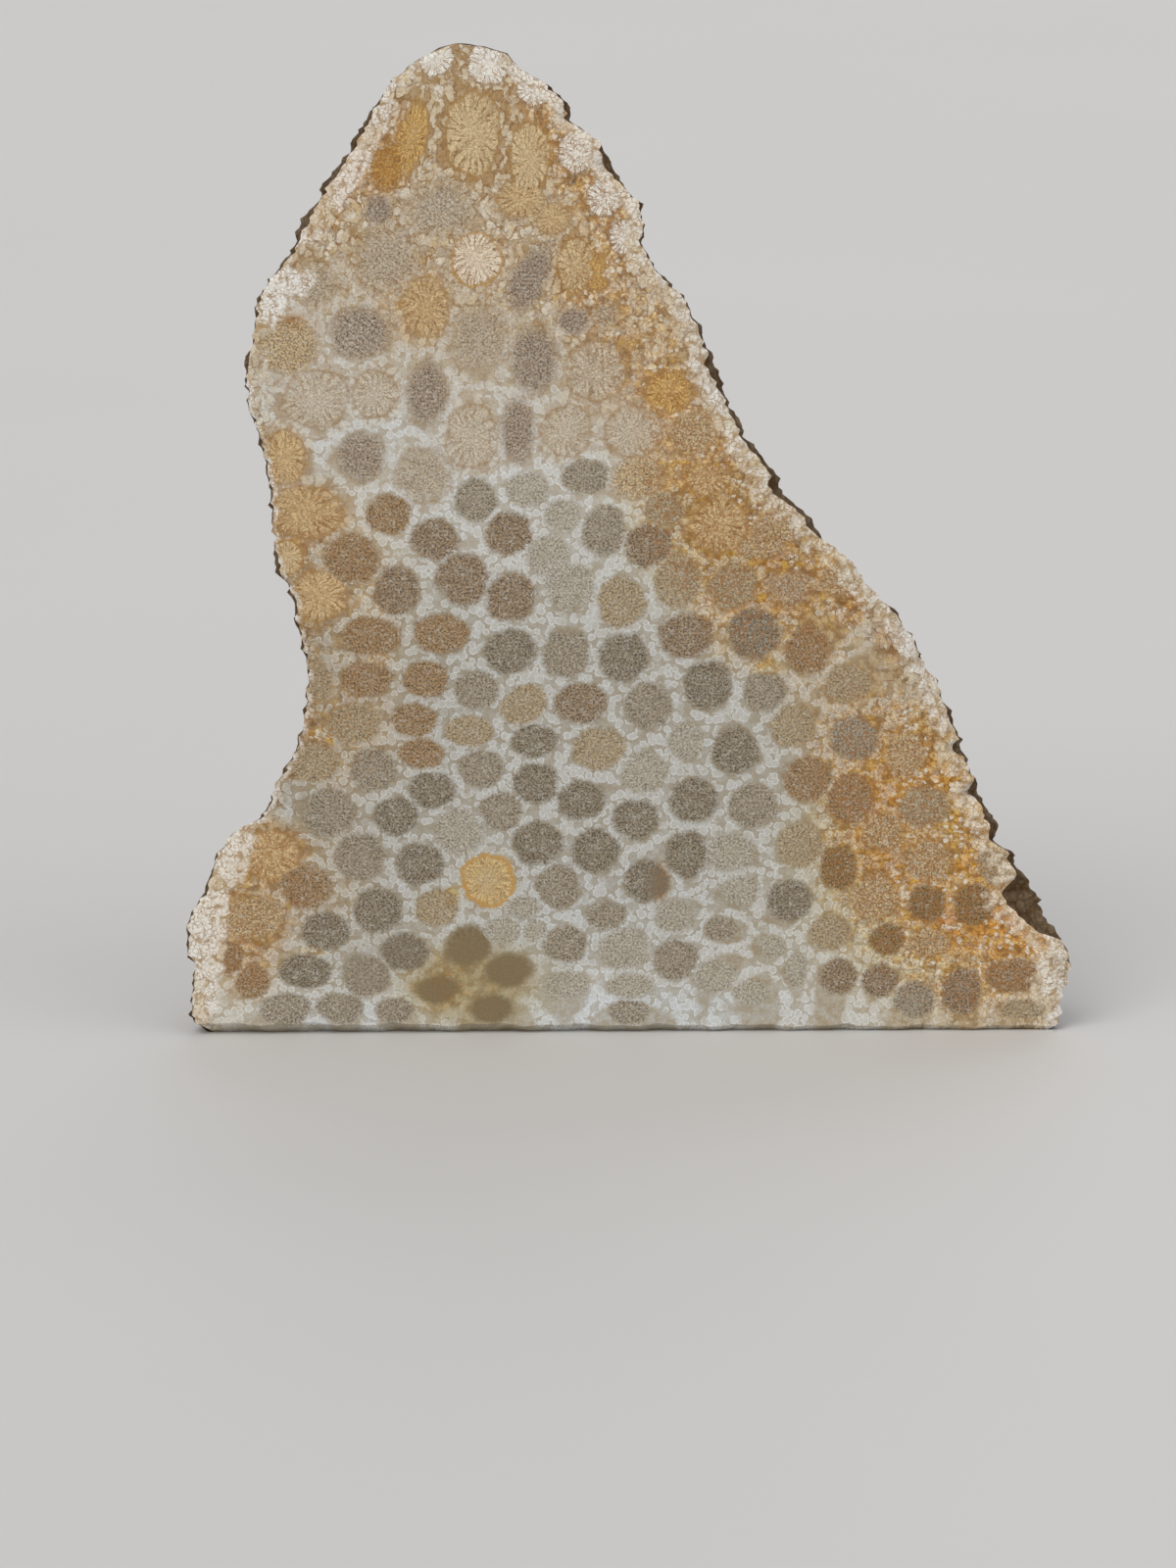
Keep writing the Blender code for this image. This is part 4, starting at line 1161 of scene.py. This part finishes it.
def sawn_base():
    """The sawn underside: dull cream stone with saw lines."""
    made, t, shader = plain_material("sawn coral base", 0.75)
    position = t.millimetres()
    cloudy = t.noise(position, 0.12, 4.0, 0.6)
    stone = t.mix(t.ramp(cloudy, 0.35, 0.65), BASE_DARK, BASE_PALE)
    across = t.vectors("DOT_PRODUCT", position, (0.25, 0.97, 0.0))
    saw = t.maths("SINE", t.times(across, 3.4))
    fine = t.noise(position, 1.6, 3.0, 0.65)
    shade = t.times_add(t.less(fine, 0.5), 0.7, t.times_add(saw, 0.05, 1.0))
    t.feed(shader.inputs["Base Color"], t.scaled(stone, shade))
    t.feed(shader.inputs["Roughness"], t.ramp(fine, 0.3, 0.7, 0.62, 0.85))
    raise_surface(t, shader, t.times_add(saw, 0.2, fine), 0.0002, 0.7)
    return made


# ---------------------------------------------------------------- build

cup = cup_group()
head = bpy.data.objects.new("coral_head_stone", head_piece())
bpy.context.scene.collection.objects.link(head)
for finish in (weathered_rind(cup), polished_coral(cup), sawn_base()):
    head.data.materials.append(finish)
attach(head, "root")
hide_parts("coral_head")


# ---------------------------------------------------------------- studio

FLOOR_RADIUS, FLOOR_POINTS = 6.0, 96
LIGHT_AIM = Vector((0.0, 0.0, 0.09))  # the middle of the head
CAMERA_AT = (-0.0800, -1.5485, 0.3869)
CAMERA_DOWN_DEG, CAMERA_SWING_DEG, CAMERA_ROLL_DEG = 12.43, 2.69, 0.315
LENS, FILM_WIDTH = 180.0, 36.0  # millimetres
VIEW_REACH = 50.0
SKY_COLOUR, SKY_POWER = (0.96, 0.97, 1.0, 1.0), 0.42
FLOOR_DARK, FLOOR_PALE = (0.70, 0.69, 0.67), (0.74, 0.73, 0.71)


def studio_floor():
    """A wide, plain pale floor: a disc, its points at even angles round the middle."""
    angle = np.linspace(0.0, 2.0 * math.pi, FLOOR_POINTS, endpoint=False)
    ring = FLOOR_RADIUS * np.stack([np.cos(angle), np.sin(angle), 0.0 * angle], axis=-1)
    mesh = bpy.data.meshes.new("studio_floor")
    mesh.from_pydata(ring.tolist(), [], [tuple(range(FLOOR_POINTS))])
    floor = bpy.data.objects.new("studio_floor", mesh)
    bpy.context.scene.collection.objects.link(floor)
    made, t, shader = plain_material("pale studio floor", 0.65)
    faint = t.noise(t.add("TexCoord").outputs["Object"], 3.0, 2.0)
    t.feed(shader.inputs["Base Color"], t.mix(faint, FLOOR_DARK, FLOOR_PALE))
    mesh.materials.append(made)


def soft_light(name, place, spread, power, warmth):
    """A far, broad light that shines from a place towards the middle of the head. Its spread
    in degrees is how broad it looks from there, which makes the shadows soft."""
    lamp = bpy.data.lights.new(name, "SUN")
    lamp.angle = math.radians(spread)
    lamp.energy = power
    lamp.color = warmth
    made = bpy.data.objects.new(name, lamp)
    made.location = place
    made.rotation_euler = (LIGHT_AIM - made.location).to_track_quat("-Z", "Y").to_euler()
    bpy.context.scene.collection.objects.link(made)


def camera():
    """Long lens a metre and a half in front, looking slightly down and along the face."""
    pitch, swing, roll = map(math.radians, (CAMERA_DOWN_DEG, CAMERA_SWING_DEG, CAMERA_ROLL_DEG))
    ahead = Vector((math.cos(pitch) * math.sin(swing), math.cos(pitch) * math.cos(swing),
                    -math.sin(pitch)))
    side = Vector((math.cos(swing), -math.sin(swing), 0.0))
    above = side.cross(ahead)
    right = math.cos(roll) * side + math.sin(roll) * above
    up = math.cos(roll) * above - math.sin(roll) * side
    lens = bpy.data.cameras.new("camera")
    lens.lens = LENS
    lens.sensor_width = FILM_WIDTH
    lens.clip_end = VIEW_REACH
    made = bpy.data.objects.new("camera", lens)
    facing = Matrix((right, up, -ahead)).transposed().to_4x4()
    made.matrix_world = Matrix.Translation(CAMERA_AT) @ facing
    bpy.context.scene.collection.objects.link(made)
    bpy.context.scene.camera = made


studio_floor()
soft_light("key", (-0.9, -1.2, 1.5), 40.0, 1.25, (1.0, 0.985, 0.96))
soft_light("fill", (1.4, -1.0, 0.9), 60.0, 0.45, (0.97, 0.985, 1.0))
soft_light("back", (0.4, 1.4, 1.1), 50.0, 0.40, (1.0, 1.0, 1.0))
world = bpy.data.worlds.new("studio")
bpy.context.scene.world = world
world.use_nodes = True
sky = world.node_tree.nodes["Background"].inputs
sky["Color"].default_value = SKY_COLOUR
sky["Strength"].default_value = SKY_POWER
camera()
bpy.context.scene.view_settings.view_transform = "Standard"
